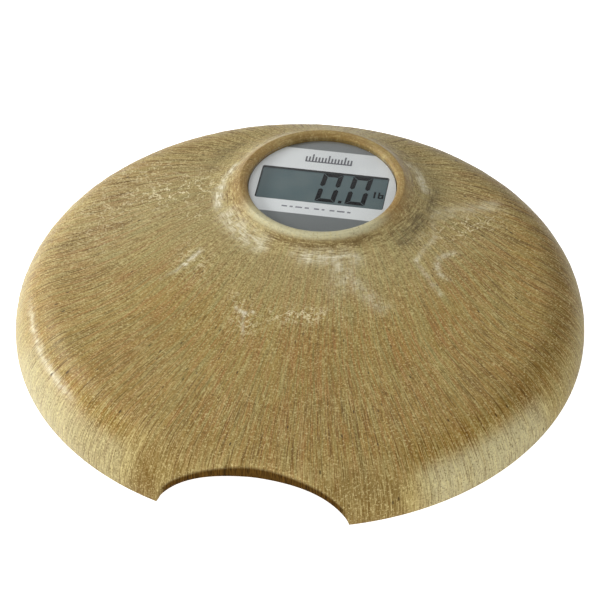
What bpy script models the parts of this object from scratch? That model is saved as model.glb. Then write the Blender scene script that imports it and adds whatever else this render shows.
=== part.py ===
"""Round bathroom scale: pressed fibre platform, recessed display, base tray, battery door and four feet.

Metres, +Z up, +X to the reader's right, +Y from the finger notch towards the display.
The floor is z = 0 and the origin is the middle of the footprint on the floor.
"""
import math

import bmesh
import bpy
from mathutils import Matrix, Vector

MM = 0.001
GAP = 0.3 * MM                      # clearance between pieces that touch

# Platform shell
RIM_R = 160.9 * MM                  # outer radius of the platform
EDGE_Z = 6.0 * MM                   # the platform's lower edge above the floor
RIM_ROUND = 27.8 * MM               # radius of the rounded rim
RIM_LAND = 3.2 * MM                 # upright band below the rounded rim
WALL = 3.4 * MM                     # thickness of the pressed shell
DOME_RISE = 3.0 * MM                # how far the deck rises from the rim to its middle
ROUND_R0 = RIM_R - RIM_ROUND        # radius and height of the rim round's centre
ROUND_Z0 = EDGE_Z + RIM_LAND
DECK_ANGLE = math.atan(2.0 * DOME_RISE / ROUND_R0)

# Finger notch in the near rim
NOTCH_HALF = math.radians(18.8)
NOTCH_APEX_R = 145.1 * MM
NOTCH_POWER = 1.75
NOTCH_LIP_HIGH = 19.4 * MM          # arch under the turned-down lip, above the lower edge

# Display crater
DISPLAY_Y = 78.0 * MM               # crater centre from the platform's centre
BORE_R = 43.4 * MM
BORE_TOP_Z = 44.6 * MM
LIP_POINTS = ((44.6 * MM, 45.7 * MM), (46.2 * MM, 46.25 * MM))   # rounding from the bore to the crest
CREST_R = 47.8 * MM
CREST_Z = 46.4 * MM
FOOT_R = 69.0 * MM                  # where the crater's flank meets the deck
FLARE_POWER = 2.0                   # how hollow the flank is
BEAD_SHARE, BEAD_WIDE = 0.24, 3.4 * MM   # rounded bead around the crest: share of the height, and width
BOSS_R = 54.0 * MM                  # flat mounting pad under the crater
BOSS_Z = 33.2 * MM
BOSS_BLEND = 6.0 * MM

# Display module, from the lens down
LENS_R = 43.0 * MM
LENS_TOP_Z = 44.0 * MM
LENS_THICK = 1.8 * MM
MASK_THICK = 0.4 * MM
GASKET_THICK = 0.5 * MM
WINDOW_X, WINDOW_Y = 75.0 * MM, 29.4 * MM
LCD_X, LCD_Y, LCD_THICK = 76.4 * MM, 32.0 * MM, 1.6 * MM
REFLECTOR_X, REFLECTOR_Y, REFLECTOR_THICK = 75.6 * MM, 26.0 * MM, 0.4 * MM
CUP_WALL, CUP_DEEP = 1.8 * MM, 9.0 * MM
RIBBON_Y = 14.6 * MM                # ribbons run along the near and far edge of the LCD
FLANGE_R, FLANGE_THICK = 52.0 * MM, 1.5 * MM
BOARD_X, BOARD_Y, BOARD_THICK = 88.0 * MM, 58.0 * MM, 1.6 * MM
BOARD_SCREW = (39.5 * MM, 25.5 * MM)

# Base tray: a disc with a flat towards the notch
TRAY_R = 134.0 * MM
TRAY_FLAT_Y = -119.5 * MM
TRAY_Z = 9.0 * MM
TRAY_THICK = 2.5 * MM
TRAY_RIM_HIGH = 4.0 * MM
HOOP_GAP, HOOP_THICK = 0.6 * MM, 2.4 * MM
HOOP_Z, HOOP_TOP_Z = 9.6 * MM, 35.4 * MM
TRAY_SCREW_XY = ((120.0, 0.0), (46.0, -96.0), (60.0, 108.0), (42.0, 8.0))
TRAY_SCREWS = [(side * x * MM, y * MM) for x, y in TRAY_SCREW_XY for side in (-1, 1)]
RIB_COUNT, RIB_THICK = 16, 2.0 * MM
PILOT_R = 1.55 * MM                  # holes that the screws cut their thread in

# Weighing feet
FOOT_XY = 78.0 * MM
FOOT_TRAVEL = 0.5 * MM
PAD_R, PAD_THICK = 13.0 * MM, 3.0 * MM
CAP_R, CAP_FLANGE_R = 14.6 * MM, 17.0 * MM
CAP_SHOULDER_Z, CAP_TOP_Z = 12.2 * MM, 14.0 * MM
FOOT_HOLE_R = 15.2 * MM
HOLDER_R, HOLDER_Z0, HOLDER_Z1 = 23.0 * MM, 15.5 * MM, 32.4 * MM
HOLDER_PAD_Z = HOLDER_Z1 + GAP
CELL_SIZE, CELL_THICK, CELL_Z0 = 29.0 * MM, 2.2 * MM, 18.2 * MM
CELL_LEDGE_Z = CELL_Z0 + CELL_THICK + GAP

# Batteries and their door
CELL_AAA_R, CELL_AAA_LENGTH = 5.25 * MM, 44.5 * MM
BAY_X, BAY_Y0, BAY_Y1, BAY_TOP = 26.6 * MM, -117.0 * MM, -92.5 * MM, 22.9 * MM
BAY_WALL = 1.6 * MM
DOOR_X, DOOR_TONGUE, DOOR_Y1 = 24.6 * MM, 1.8 * MM, -90.8 * MM
DOOR_LIP = 1.1 * MM

# Unit button
BUTTON_AT = (30.0 * MM, 60.0 * MM)
BUTTON_R, BUTTON_FLANGE_R, BUTTON_TRAVEL = 4.0 * MM, 5.6 * MM, 1.0 * MM
SWITCH_SIZE, SWITCH_HIGH = 6.2 * MM, 4.0 * MM
BOARD_TOP_Z = BOSS_Z - GAP - FLANGE_THICK - GAP
BOARD_LOW_Z = BOARD_TOP_Z - BOARD_THICK
BUTTON_TOP_Z = BOARD_LOW_Z - GAP - SWITCH_HIGH - BUTTON_TRAVEL - GAP


def centre_y():
    """Half of what the notch takes off the platform's depth, so that the origin is mid-footprint."""
    return -0.5 * RIM_R * (1.0 - math.cos(NOTCH_HALF))


# ---------------------------------------------------------------- scene and materials
for old in list(bpy.data.objects):
    bpy.data.objects.remove(old, do_unlink=True)

scene_collection = bpy.context.scene.collection
body_frame = bpy.data.objects.new("platform_centre", None)
body_frame.location = (0.0, centre_y(), 0.0)
scene_collection.objects.link(body_frame)


def make_material(name, colour, roughness, metallic=0.0):
    mat = bpy.data.materials.new(name)
    mat.use_nodes = True
    shader = mat.node_tree.nodes["Principled BSDF"]
    shader.inputs["Base Color"].default_value = (*colour, 1.0)
    shader.inputs["Roughness"].default_value = roughness
    shader.inputs["Metallic"].default_value = metallic
    mat.diffuse_color = (*colour, 1.0)
    return mat


FIBRE = make_material("pressed_fibre", (0.40, 0.29, 0.12), 0.45)
ACRYLIC = make_material("clear_acrylic", (0.80, 0.83, 0.84), 0.06)
PRINT = make_material("silver_print", (0.55, 0.55, 0.58), 0.35, 0.6)
LCD_GLASS = make_material("lcd_glass", (0.14, 0.19, 0.19), 0.2)
FOIL = make_material("reflector_foil", (0.5, 0.52, 0.5), 0.4, 0.8)
TRAY_PLASTIC = make_material("tray_plastic", (0.075, 0.065, 0.055), 0.55)
INNER_PLASTIC = make_material("inner_plastic", (0.75, 0.74, 0.70), 0.5)
RUBBER = make_material("foot_rubber", (0.03, 0.03, 0.03), 0.8)
FOAM = make_material("gasket_foam", (0.02, 0.02, 0.02), 0.9)
BOARD_GREEN = make_material("board_green", (0.02, 0.16, 0.07), 0.4)
EPOXY = make_material("chip_epoxy", (0.01, 0.01, 0.01), 0.35)
STEEL = make_material("bright_steel", (0.6, 0.6, 0.6), 0.3, 1.0)
NICKEL = make_material("contact_nickel", (0.66, 0.63, 0.57), 0.25, 1.0)
BATTERY_WRAP = make_material("battery_wrap", (0.03, 0.09, 0.22), 0.3, 0.3)
LABEL = make_material("blank_label", (0.78, 0.78, 0.76), 0.5)
WIRE_RED = make_material("wire_red", (0.5, 0.02, 0.02), 0.45)
WIRE_BLACK = make_material("wire_black", (0.02, 0.02, 0.02), 0.45)
WIRE_WHITE = make_material("wire_white", (0.7, 0.7, 0.68), 0.45)


# ---------------------------------------------------------------- building blocks
def place(name, mesh, material, location=(0.0, 0.0, 0.0), parent=body_frame, sharp=30.0):
    """Put a mesh into the scene as one named sub-part."""
    mesh.materials.append(material)
    mesh.shade_smooth()
    mesh.set_sharp_from_angle(angle=math.radians(sharp))
    obj = bpy.data.objects.new(name, mesh)
    obj.location = location
    obj.parent = parent
    scene_collection.objects.link(obj)
    return obj


def bmesh_to_mesh(name, bm):
    bmesh.ops.recalc_face_normals(bm, faces=bm.faces)
    mesh = bpy.data.meshes.new(name)
    bm.to_mesh(mesh)
    bm.free()
    return mesh


def ring_faces(bm, lower, upper):
    """Quads between two rings of vertices with the same count."""
    count = len(lower)
    for i in range(count):
        j = (i + 1) % count
        corners = []
        for vert in (lower[i], lower[j], upper[j], upper[i]):
            if vert not in corners:
                corners.append(vert)
        if len(corners) > 2:
            bm.faces.new(corners)


def turned_mesh(name, profile, segments=32):
    """Solid turned about Z from (radius, z) points; open ends lie on the axis, a ring profile is closed."""
    bm = bmesh.new()
    rings = []
    for radius, z in profile:
        if radius <= 0.0:
            rings.append([bm.verts.new((0.0, 0.0, z))] * segments)
            continue
        turns = [2.0 * math.pi * i / segments for i in range(segments)]
        rings.append([bm.verts.new((radius * math.cos(a), radius * math.sin(a), z)) for a in turns])
    is_ring = profile[0][0] > 0.0
    last = len(rings) if is_ring else len(rings) - 1
    for i in range(last):
        ring_faces(bm, rings[i], rings[(i + 1) % len(rings)])
    return bmesh_to_mesh(name, bm)


def disc(radius, z0, z1, chamfer=0.0):
    """Profile of a disc whose rims may be chamfered."""
    if chamfer <= 0.0:
        return [(0.0, z0), (radius, z0), (radius, z1), (0.0, z1)]
    inner = radius - chamfer
    return [(0.0, z0), (inner, z0), (radius, z0 + chamfer), (radius, z1 - chamfer), (inner, z1), (0.0, z1)]


def prism_mesh(name, outline, z0, z1):
    """Solid between two heights over a counter-clockwise outline of (x, y) points."""
    bm = bmesh.new()
    low = [bm.verts.new((x, y, z0)) for x, y in outline]
    high = [bm.verts.new((x, y, z1)) for x, y in outline]
    ring_faces(bm, low, high)
    bm.faces.new(low[::-1])
    bm.faces.new(high)
    return bmesh_to_mesh(name, bm)


def rectangle(x0, x1, y0, y1, corner=0.0, steps=4):
    """Rectangle outline, its corners rounded when a radius is given."""
    if corner <= 0.0:
        return [(x0, y0), (x1, y0), (x1, y1), (x0, y1)]
    left, right = x0 + corner, x1 - corner
    near, far = y0 + corner, y1 - corner
    centres = [(right, far), (left, far), (left, near), (right, near)]
    points = []
    for quarter, (cx, cy) in enumerate(centres):
        for k in range(steps + 1):
            angle = math.pi / 2.0 * (quarter + k / steps)
            points.append((cx + corner * math.cos(angle), cy + corner * math.sin(angle)))
    return points


def block_mesh(name, x0, x1, y0, y1, z0, z1, corner=0.0):
    return prism_mesh(name, rectangle(x0, x1, y0, y1, corner), z0, z1)


def flat_sided_disc(radius, flat_y, steps=40):
    """Outline of a disc cut straight across at flat_y."""
    start = math.asin(flat_y / radius)
    sweep = math.pi - 2.0 * start
    angles = [start + sweep * k / steps for k in range(steps + 1)]
    return [(radius * math.cos(a), radius * math.sin(a)) for a in angles]


def tool(mesh, location=(0.0, 0.0, 0.0), rotation=0.0):
    """Hidden helper body that a Boolean modifier reads."""
    obj = bpy.data.objects.new("tool_" + mesh.name, mesh)
    obj.location = location
    obj.rotation_euler.z = rotation
    obj.parent = body_frame
    obj.hide_render = True
    obj.display_type = "WIRE"
    scene_collection.objects.link(obj)
    return obj


def combine(target, operation, helper):
    modifier = target.modifiers.new(operation.lower(), "BOOLEAN")
    modifier.operation = operation
    modifier.solver = "EXACT"
    modifier.object = helper


def cut(target, helper):
    combine(target, "DIFFERENCE", helper)


def add(target, helper):
    combine(target, "UNION", helper)


def wire(name, points, radius, material):
    """Insulated lead along a smooth curve through the given points."""
    curve = bpy.data.curves.new(name, "CURVE")
    curve.dimensions = "3D"
    curve.bevel_depth = radius
    curve.bevel_resolution = 1
    curve.use_fill_caps = True
    smooth = catmull_rom([Vector(p) for p in points], 3)
    spline = curve.splines.new("POLY")
    spline.points.add(len(smooth) - 1)
    for slot, point in zip(spline.points, smooth):
        slot.co = (*point, 1.0)
    curve.materials.append(material)
    obj = bpy.data.objects.new(name, curve)
    obj.parent = body_frame
    scene_collection.objects.link(obj)


def catmull_rom(points, steps):
    """Points along a Catmull-Rom curve."""
    padded = [2 * points[0] - points[1], *points, 2 * points[-1] - points[-2]]
    smooth = []
    for a, b, c, d in zip(padded, padded[1:], padded[2:], padded[3:]):
        for k in range(steps):
            t = k / steps
            smooth.append(0.5 * (2 * b + (c - a) * t + (2 * a - 5 * b + 4 * c - d) * t**2
                                 + (3 * b - a - 3 * c + d) * t**3))
    smooth.append(points[-1])
    return smooth


# ---------------------------------------------------------------- platform shell
def smoothstep(value):
    value = min(max(value, 0.0), 1.0)
    return value * value * (3.0 - 2.0 * value)


def deck_height(radius, inset=0.0):
    """Height of the deck and rim over a radius; an inset gives the shell's inner face."""
    start = ROUND_R0 + (RIM_ROUND - inset) * math.sin(DECK_ANGLE)
    edge = ROUND_Z0 + (RIM_ROUND - inset) * math.cos(DECK_ANGLE)
    if radius < start:
        return edge + DOME_RISE * (1.0 - (radius / start) ** 2)
    return ROUND_Z0 + math.sqrt(max((RIM_ROUND - inset) ** 2 - (radius - ROUND_R0) ** 2, 0.0))


def with_crater(x, y, height):
    """Raise the deck to the crater's crest: a flared flank under a rounded bead."""
    beyond = math.hypot(x, y - DISPLAY_Y) - CREST_R
    flank = min(max(1.0 - beyond / (FOOT_R - CREST_R), 0.0), 1.0) ** FLARE_POWER
    bead = 1.0 - smoothstep(beyond / BEAD_WIDE)
    return height + ((1.0 - BEAD_SHARE) * flank + BEAD_SHARE * bead) * (CREST_Z - height)


def with_boss(x, y, height):
    """Bring the inner face down to the flat mounting pad under the crater."""
    share = 1.0 - smoothstep((math.hypot(x, y - DISPLAY_Y) - BOSS_R) / BOSS_BLEND)
    return height + share * (min(BOSS_Z, height) - height)


def notch_share(angle):
    """0 in the middle of the finger notch, 1 at its ends and beyond, for a direction about the centre."""
    return min(abs(math.remainder(angle + math.pi / 2.0, 2.0 * math.pi)) / NOTCH_HALF, 1.0)


def notch_radius(angle):
    """Radius at which the finger notch cuts the rim."""
    return NOTCH_APEX_R + (RIM_R - NOTCH_APEX_R) * notch_share(angle) ** NOTCH_POWER


def lip_height(angle):
    """Height of the shell's lower edge, which arches up over the finger notch."""
    return EDGE_Z + NOTCH_LIP_HIGH * (1.0 - notch_share(angle) ** 4) ** 0.75


def shell_angles():
    """Directions of the shell's sections, closer together around the notch."""
    fine = [-math.pi / 2.0 + NOTCH_HALF * k / 8.0 for k in range(-9, 10)]
    steps = 50
    start, end = fine[-1], fine[0] + 2.0 * math.pi
    return fine + [start + (end - start) * k / steps for k in range(1, steps)]


def shell_rings():
    """Rings of points from the bore over the crater, deck and rim, then back along the inner face."""
    angles = shell_angles()
    rings = []
    for radius, z in ((BORE_R, BOSS_Z), (BORE_R, BORE_TOP_Z), *LIP_POINTS):
        rings.append([(radius * math.cos(a), DISPLAY_Y + radius * math.sin(a), z) for a in angles])
    deck_end = ROUND_R0 + RIM_ROUND * math.sin(DECK_ANGLE)
    for share in (0.0, 0.012, 0.024, 0.045, 0.075, 0.12, 0.2, 0.34, 0.6, 1.0):
        radius = CREST_R + (deck_end - CREST_R) * share
        centre = DISPLAY_Y * (1.0 - share)
        flat = [(radius * math.cos(a), centre + radius * math.sin(a)) for a in angles]
        rings.append([(x, y, with_crater(x, y, deck_height(math.hypot(x, y)))) for x, y in flat])
    rings.extend(rim_rings(angles))
    inner_end = ROUND_R0 + (RIM_ROUND - WALL) * math.sin(DECK_ANGLE)
    for share in (1.0, 0.4, 0.06, 0.0):
        radius = BOSS_R + (inner_end - BOSS_R) * share
        centre = DISPLAY_Y * (1.0 - share)
        flat = [(radius * math.cos(a), centre + radius * math.sin(a)) for a in angles]
        rings.append([(x, y, with_boss(x, y, deck_height(math.hypot(x, y), WALL))) for x, y in flat])
    return rings


def rim_point(rounding, turn):
    """Radius and height on the rounded rim, turn measured from straight up."""
    return ROUND_R0 + rounding * math.sin(turn), ROUND_Z0 + rounding * math.cos(turn)


def rim_rings(angles):
    """Rings down the outside of the rim, across its cut edge and up its inside."""
    outer_steps, inner_steps = 6, 3
    inner_round = RIM_ROUND - WALL
    sections = []
    for a in angles:
        reach = notch_radius(a)
        lip = lip_height(a)
        outer_end = math.asin(min((reach - ROUND_R0) / RIM_ROUND, 1.0))
        inner_end = math.asin(min((reach - WALL - ROUND_R0) / inner_round, 1.0))
        section = []
        for k in range(1, outer_steps + 1):
            turn = DECK_ANGLE + (outer_end - DECK_ANGLE) * k / outer_steps
            section.append((*rim_point(RIM_ROUND, turn), True))
        section.append((reach, lip, False))
        section.append((reach - WALL, lip, False))
        for k in range(inner_steps):
            turn = inner_end + (DECK_ANGLE - inner_end) * k / inner_steps
            section.append((*rim_point(inner_round, turn), False))
        sections.append(section)
    rings = []
    for level in range(len(sections[0])):
        ring = []
        for a, section in zip(angles, sections):
            radius, z, is_outside = section[level]
            x, y = radius * math.cos(a), radius * math.sin(a)
            ring.append((x, y, with_crater(x, y, z) if is_outside else z))
        rings.append(ring)
    return rings


def shell_mesh():
    bm = bmesh.new()
    rings = [[bm.verts.new(point) for point in ring] for ring in shell_rings()]
    for lower, upper in zip(rings, rings[1:] + rings[:1]):
        ring_faces(bm, lower, upper)
    bmesh.ops.remove_doubles(bm, verts=bm.verts, dist=0.01 * MM)
    bmesh.ops.dissolve_degenerate(bm, edges=bm.edges, dist=0.005 * MM)
    return bmesh_to_mesh("platform_shell", bm)


def rib_mesh():
    """Upright web between the tray hoop and the rim, drawn in the X-Z plane."""
    half = 0.5 * RIB_THICK
    section = [(136.0, 14.0), (158.8, 12.5), (157.8, 18.0), (155.2, 23.0), (151.0, 28.0), (146.0, 32.0),
               (136.0, 35.0)]
    bm = bmesh.new()
    sides = [[bm.verts.new((r * MM, y, z * MM)) for r, z in section] for y in (-half, half)]
    ring_faces(bm, sides[0], sides[1])
    bm.faces.new(sides[0][::-1])
    bm.faces.new(sides[1])
    return bmesh_to_mesh("rib", bm)


def build_shell():
    shell = place("platform_shell", shell_mesh(), FIBRE, sharp=35.0)
    hoop_outer = flat_sided_disc(TRAY_R + HOOP_GAP + HOOP_THICK, TRAY_FLAT_Y - HOOP_GAP - HOOP_THICK)
    hoop_inner = flat_sided_disc(TRAY_R + HOOP_GAP, TRAY_FLAT_Y - HOOP_GAP)
    bm = bmesh.new()
    levels = []
    corners = ((hoop_outer, HOOP_Z), (hoop_outer, HOOP_TOP_Z), (hoop_inner, HOOP_TOP_Z), (hoop_inner, HOOP_Z))
    for outline, z in corners:
        levels.append([bm.verts.new((x, y, z)) for x, y in outline])
    for lower, upper in zip(levels, levels[1:] + levels[:1]):
        ring_faces(bm, lower, upper)
    add(shell, tool(bmesh_to_mesh("hoop", bm)))
    gate_x = DOOR_X + DOOR_TONGUE + 4 * GAP
    gate_y = (TRAY_FLAT_Y - 6.0 * MM, TRAY_FLAT_Y + 0.2 * MM)
    gate_top = TRAY_Z + TRAY_THICK + 3 * GAP
    cut(shell, tool(block_mesh("door_gate", -gate_x, gate_x, *gate_y, 5.0 * MM, gate_top)))
    rib = rib_mesh()
    for k in range(RIB_COUNT):
        angle = 2.0 * math.pi * (k + 0.5) / RIB_COUNT
        if abs(math.remainder(angle + math.pi / 2.0, 2.0 * math.pi)) > 1.3 * NOTCH_HALF:
            add(shell, tool(rib, rotation=angle))
    holder_pad = turned_mesh("holder_pad", disc(HOLDER_R + 1.0 * MM, HOLDER_PAD_Z, 36.2 * MM), 24)
    for x, y in foot_places():
        add(shell, tool(holder_pad, (x, y, 0.0)))
    post_low, pilot_top = TRAY_Z + TRAY_THICK + GAP, 24.0 * MM
    post_r = 4.4 * MM
    for x, y in TRAY_SCREWS:
        root_z = deck_height(math.hypot(x, y)) - 0.5 * WALL
        post_profile = [(0.0, pilot_top), (PILOT_R, pilot_top), (PILOT_R, post_low), (post_r, post_low),
                        (post_r, root_z), (0.0, root_z)]
        add(shell, tool(turned_mesh("screw_post", post_profile, 10), (x, y, 0.0), rotation=0.1))
    display_pilot = turned_mesh("display_pilot", disc(PILOT_R, 25.0 * MM, 39.0 * MM), 8)
    for x, y in board_screw_places():
        cut(shell, tool(display_pilot, (x, y, 0.0)))


def foot_places():
    return [(sx * FOOT_XY, sy * FOOT_XY) for sy in (-1, 1) for sx in (-1, 1)]


def board_screw_places():
    sx_sy = [(sx, sy) for sy in (-1, 1) for sx in (-1, 1)]
    return [(sx * BOARD_SCREW[0], DISPLAY_Y + sy * BOARD_SCREW[1]) for sx, sy in sx_sy]


# ---------------------------------------------------------------- display module
def build_display():
    at = (0.0, DISPLAY_Y, 0.0)
    z = LENS_TOP_Z
    lens_mesh = turned_mesh("display_lens", disc(LENS_R, z - LENS_THICK, z, 0.3 * MM), 48)
    place("display_lens", lens_mesh, ACRYLIC, at)
    z -= LENS_THICK + GAP
    mask_mesh = turned_mesh("display_mask", disc(LENS_R - 0.1 * MM, z - MASK_THICK, z), 48)
    mask = place("display_mask", mask_mesh, PRINT, at)
    half_x, half_y = WINDOW_X / 2, WINDOW_Y / 2
    cut(mask, tool(block_mesh("window", -half_x, half_x, -half_y, half_y, 30.0 * MM, 50.0 * MM), at))
    z -= MASK_THICK + GAP
    gasket_top = z
    gasket_mesh = turned_mesh("lens_gasket", disc(LENS_R - 0.2 * MM, z - GASKET_THICK, z), 48)
    gasket = place("lens_gasket", gasket_mesh, FOAM, at)
    pocket = block_mesh("lcd_pocket", -LCD_X / 2 - GAP, LCD_X / 2 + GAP, -LCD_Y / 2 - GAP, LCD_Y / 2 + GAP,
                        gasket_top - 3.0 * MM, 50.0 * MM)
    cut(gasket, tool(pocket, at))
    z -= GASKET_THICK + GAP
    build_display_cup(at, z, pocket)
    lcd_top = gasket_top - 0.4 * MM
    lcd_low = lcd_top - LCD_THICK
    half_x, half_y = LCD_X / 2, LCD_Y / 2
    panel_mesh = block_mesh("lcd_panel", -half_x, half_x, -half_y, half_y, lcd_low, lcd_top)
    place("lcd_panel", panel_mesh, LCD_GLASS, at)
    foil_top = lcd_low - GAP
    foil_low = foil_top - REFLECTOR_THICK
    half_x, half_y = REFLECTOR_X / 2, REFLECTOR_Y / 2
    foil_mesh = block_mesh("lcd_reflector", -half_x, half_x, -half_y, half_y, foil_low, foil_top)
    place("lcd_reflector", foil_mesh, FOIL, at)
    build_board(at, foil_top)


def build_display_cup(at, top, pocket):
    """Moulded cup that carries the lens and the LCD and screws to the pad under the crater."""
    flange_top = BOSS_Z - GAP
    outer = LENS_R - 0.1 * MM
    inner = outer - CUP_WALL
    floor = LENS_TOP_Z - CUP_DEEP
    flange_low = flange_top - FLANGE_THICK
    profile = [(0.0, floor), (inner, floor), (inner, flange_low), (FLANGE_R, flange_low),
               (FLANGE_R, flange_top), (outer, flange_top), (outer, top), (0.0, top)]
    cup = place("display_cup", turned_mesh("display_cup", profile, 36), INNER_PLASTIC, at)
    cut(cup, tool(pocket, at))
    for side in (-1, 1):
        slot_y = (side * RIBBON_Y - 1.1 * MM, side * RIBBON_Y + 1.1 * MM)
        slot = block_mesh("ribbon_slot", -30.0 * MM, 30.0 * MM, *slot_y, 28.0 * MM, 45.0 * MM)
        cut(cup, tool(slot, at))
    hole = turned_mesh("flange_hole", disc(1.7 * MM, 25.0 * MM, 36.0 * MM), 8)
    for x, y in board_screw_places():
        cut(cup, tool(hole, (x, y, 0.0)))


def build_board(at, foil_top):
    outline = (-BOARD_X / 2, BOARD_X / 2, -BOARD_Y / 2, BOARD_Y / 2)
    board_mesh = block_mesh("main_board", *outline, BOARD_LOW_Z, BOARD_TOP_Z, 3.0 * MM)
    board = place("main_board", board_mesh, BOARD_GREEN, at)
    hole = turned_mesh("board_hole", disc(1.7 * MM, 20.0 * MM, 36.0 * MM), 8)
    for x, y in board_screw_places():
        cut(board, tool(hole, (x, y, 0.0)))
    for name, side in (("lcd_ribbon_near", -1), ("lcd_ribbon_far", 1)):
        centre = side * RIBBON_Y
        ribbon = block_mesh(name, -28.0 * MM, 28.0 * MM, centre - 0.6 * MM, centre + 0.6 * MM,
                            BOARD_TOP_Z + GAP, foil_top)
        place(name, ribbon, INNER_PLASTIC, at)
    blob_top = BOARD_LOW_Z - GAP
    dome = [(0.0, blob_top - 1.8 * MM), (4.0 * MM, blob_top - 1.5 * MM), (6.5 * MM, blob_top - 0.6 * MM),
            (7.0 * MM, blob_top), (0.0, blob_top)]
    place("controller_chip", turned_mesh("controller_chip", dome, 20), EPOXY, (-14.0 * MM, DISPLAY_Y, 0.0))
    half = SWITCH_SIZE / 2
    switch_top = BOARD_LOW_Z - GAP
    where = (*BUTTON_AT, 0.0)
    switch = block_mesh("unit_switch", -half, half, -half, half, switch_top - SWITCH_HIGH, switch_top)
    place("unit_switch", switch, EPOXY, where)
    screw = screw_mesh("display_screw", BOARD_LOW_Z - GAP, 8.4 * MM, 2.6 * MM, 1.2 * MM, 1.25 * MM, False)
    for k, (x, y) in enumerate(board_screw_places(), 1):
        place("display_screw_%d" % k, screw, STEEL, (x, y, 0.0))


def screw_mesh(name, seat_z, length, head_r, head_high, shank_r, countersunk):
    """Screw pointing up, its head under the seat."""
    profile = [(0.0, seat_z - head_high), (head_r, seat_z - head_high)]
    if not countersunk:
        profile.append((head_r, seat_z))
    profile += [(shank_r, seat_z), (shank_r, seat_z + length), (0.0, seat_z + length)]
    return turned_mesh(name, profile, 8)


# ---------------------------------------------------------------- base tray and its door
def build_tray():
    z0, z1 = TRAY_Z, TRAY_Z + TRAY_THICK
    outline = flat_sided_disc(TRAY_R, TRAY_FLAT_Y)
    tray = place("base_tray", prism_mesh("base_tray", outline, z0, z1), TRAY_PLASTIC)
    wall_outer = flat_sided_disc(TRAY_R - 2.0 * MM, TRAY_FLAT_Y + 2.0 * MM)
    wall_inner = flat_sided_disc(TRAY_R - 4.0 * MM, TRAY_FLAT_Y + 4.0 * MM)
    bm = bmesh.new()
    wall_top = z1 + TRAY_RIM_HIGH
    levels = []
    wall_low = z0 + MM
    corners = ((wall_outer, wall_low), (wall_outer, wall_top), (wall_inner, wall_top), (wall_inner, wall_low))
    for points, z in corners:
        levels.append([bm.verts.new((x, y, z)) for x, y in points])
    for lower, upper in zip(levels, levels[1:] + levels[:1]):
        ring_faces(bm, lower, upper)
    add(tray, tool(bmesh_to_mesh("tray_wall", bm)))
    add(tray, tool(block_mesh("bay_block", -BAY_X - BAY_WALL - DOOR_TONGUE, BAY_X + BAY_WALL + DOOR_TONGUE,
                              TRAY_FLAT_Y, BAY_Y1 + BAY_WALL, z0 + MM, BAY_TOP + BAY_WALL)))
    cut(tray, tool(block_mesh("bay_space", -BAY_X, BAY_X, BAY_Y0, BAY_Y1, 5.0 * MM, BAY_TOP)))
    lip_z = z0 + DOOR_LIP
    far = DOOR_Y1 + GAP
    cut(tray, tool(block_mesh("door_way", -DOOR_X - GAP, DOOR_X + GAP, -0.13, far, 5.0 * MM, lip_z + MM)))
    wide = DOOR_X + DOOR_TONGUE + 3 * GAP
    cut(tray, tool(block_mesh("door_groove", -wide, wide, -0.13, far, lip_z - GAP, z1 + 2 * GAP)))
    guide = turned_mesh("button_guide", disc(BUTTON_FLANGE_R + 2.2 * MM, z0 + MM, z1 + 4.0 * MM), 20)
    add(tray, tool(guide, (*BUTTON_AT, 0.0)))
    well = [(0.0, 5.0 * MM), (BUTTON_R + GAP, 5.0 * MM), (BUTTON_R + GAP, z1 + GAP),
            (BUTTON_FLANGE_R + GAP, z1 + GAP), (BUTTON_FLANGE_R + GAP, 20.0 * MM), (0.0, 20.0 * MM)]
    cut(tray, tool(turned_mesh("button_well", well, 20), (*BUTTON_AT, 0.0)))
    foot_hole = turned_mesh("foot_hole", disc(FOOT_HOLE_R, 5.0 * MM, 20.0 * MM), 24)
    for x, y in foot_places():
        cut(tray, tool(foot_hole, (x, y, 0.0)))
    seat_z = z0 + 1.6 * MM
    sink = [(0.0, 5.0 * MM), (3.2 * MM, 5.0 * MM), (3.2 * MM, z0 + 0.4 * MM), (1.6 * MM, seat_z + GAP),
            (1.6 * MM, 15.0 * MM), (0.0, 15.0 * MM)]
    sink_mesh = turned_mesh("screw_sink", sink, 10)
    screw = screw_mesh("tray_screw", seat_z, 11.0 * MM, 2.8 * MM, 1.4 * MM, 1.25 * MM, True)
    for k, (x, y) in enumerate(TRAY_SCREWS, 1):
        cut(tray, tool(sink_mesh, (x, y, 0.0)))
        place("tray_screw_%d" % k, screw, STEEL, (x, y, 0.0))
    label = (-32.0 * MM, 32.0 * MM, -30.0 * MM, -2.0 * MM)
    cut(tray, tool(block_mesh("label_recess", *label, 5.0 * MM, z0 + 0.8 * MM, 3.0 * MM)))
    inset = 0.5 * MM
    sticker = (label[0] + inset, label[1] - inset, label[2] + inset, label[3] - inset)
    sticker_mesh = block_mesh("rating_label", *sticker, z0 + 0.2 * MM, z0 + 0.5 * MM, 2.5 * MM)
    place("rating_label", sticker_mesh, LABEL)


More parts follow.
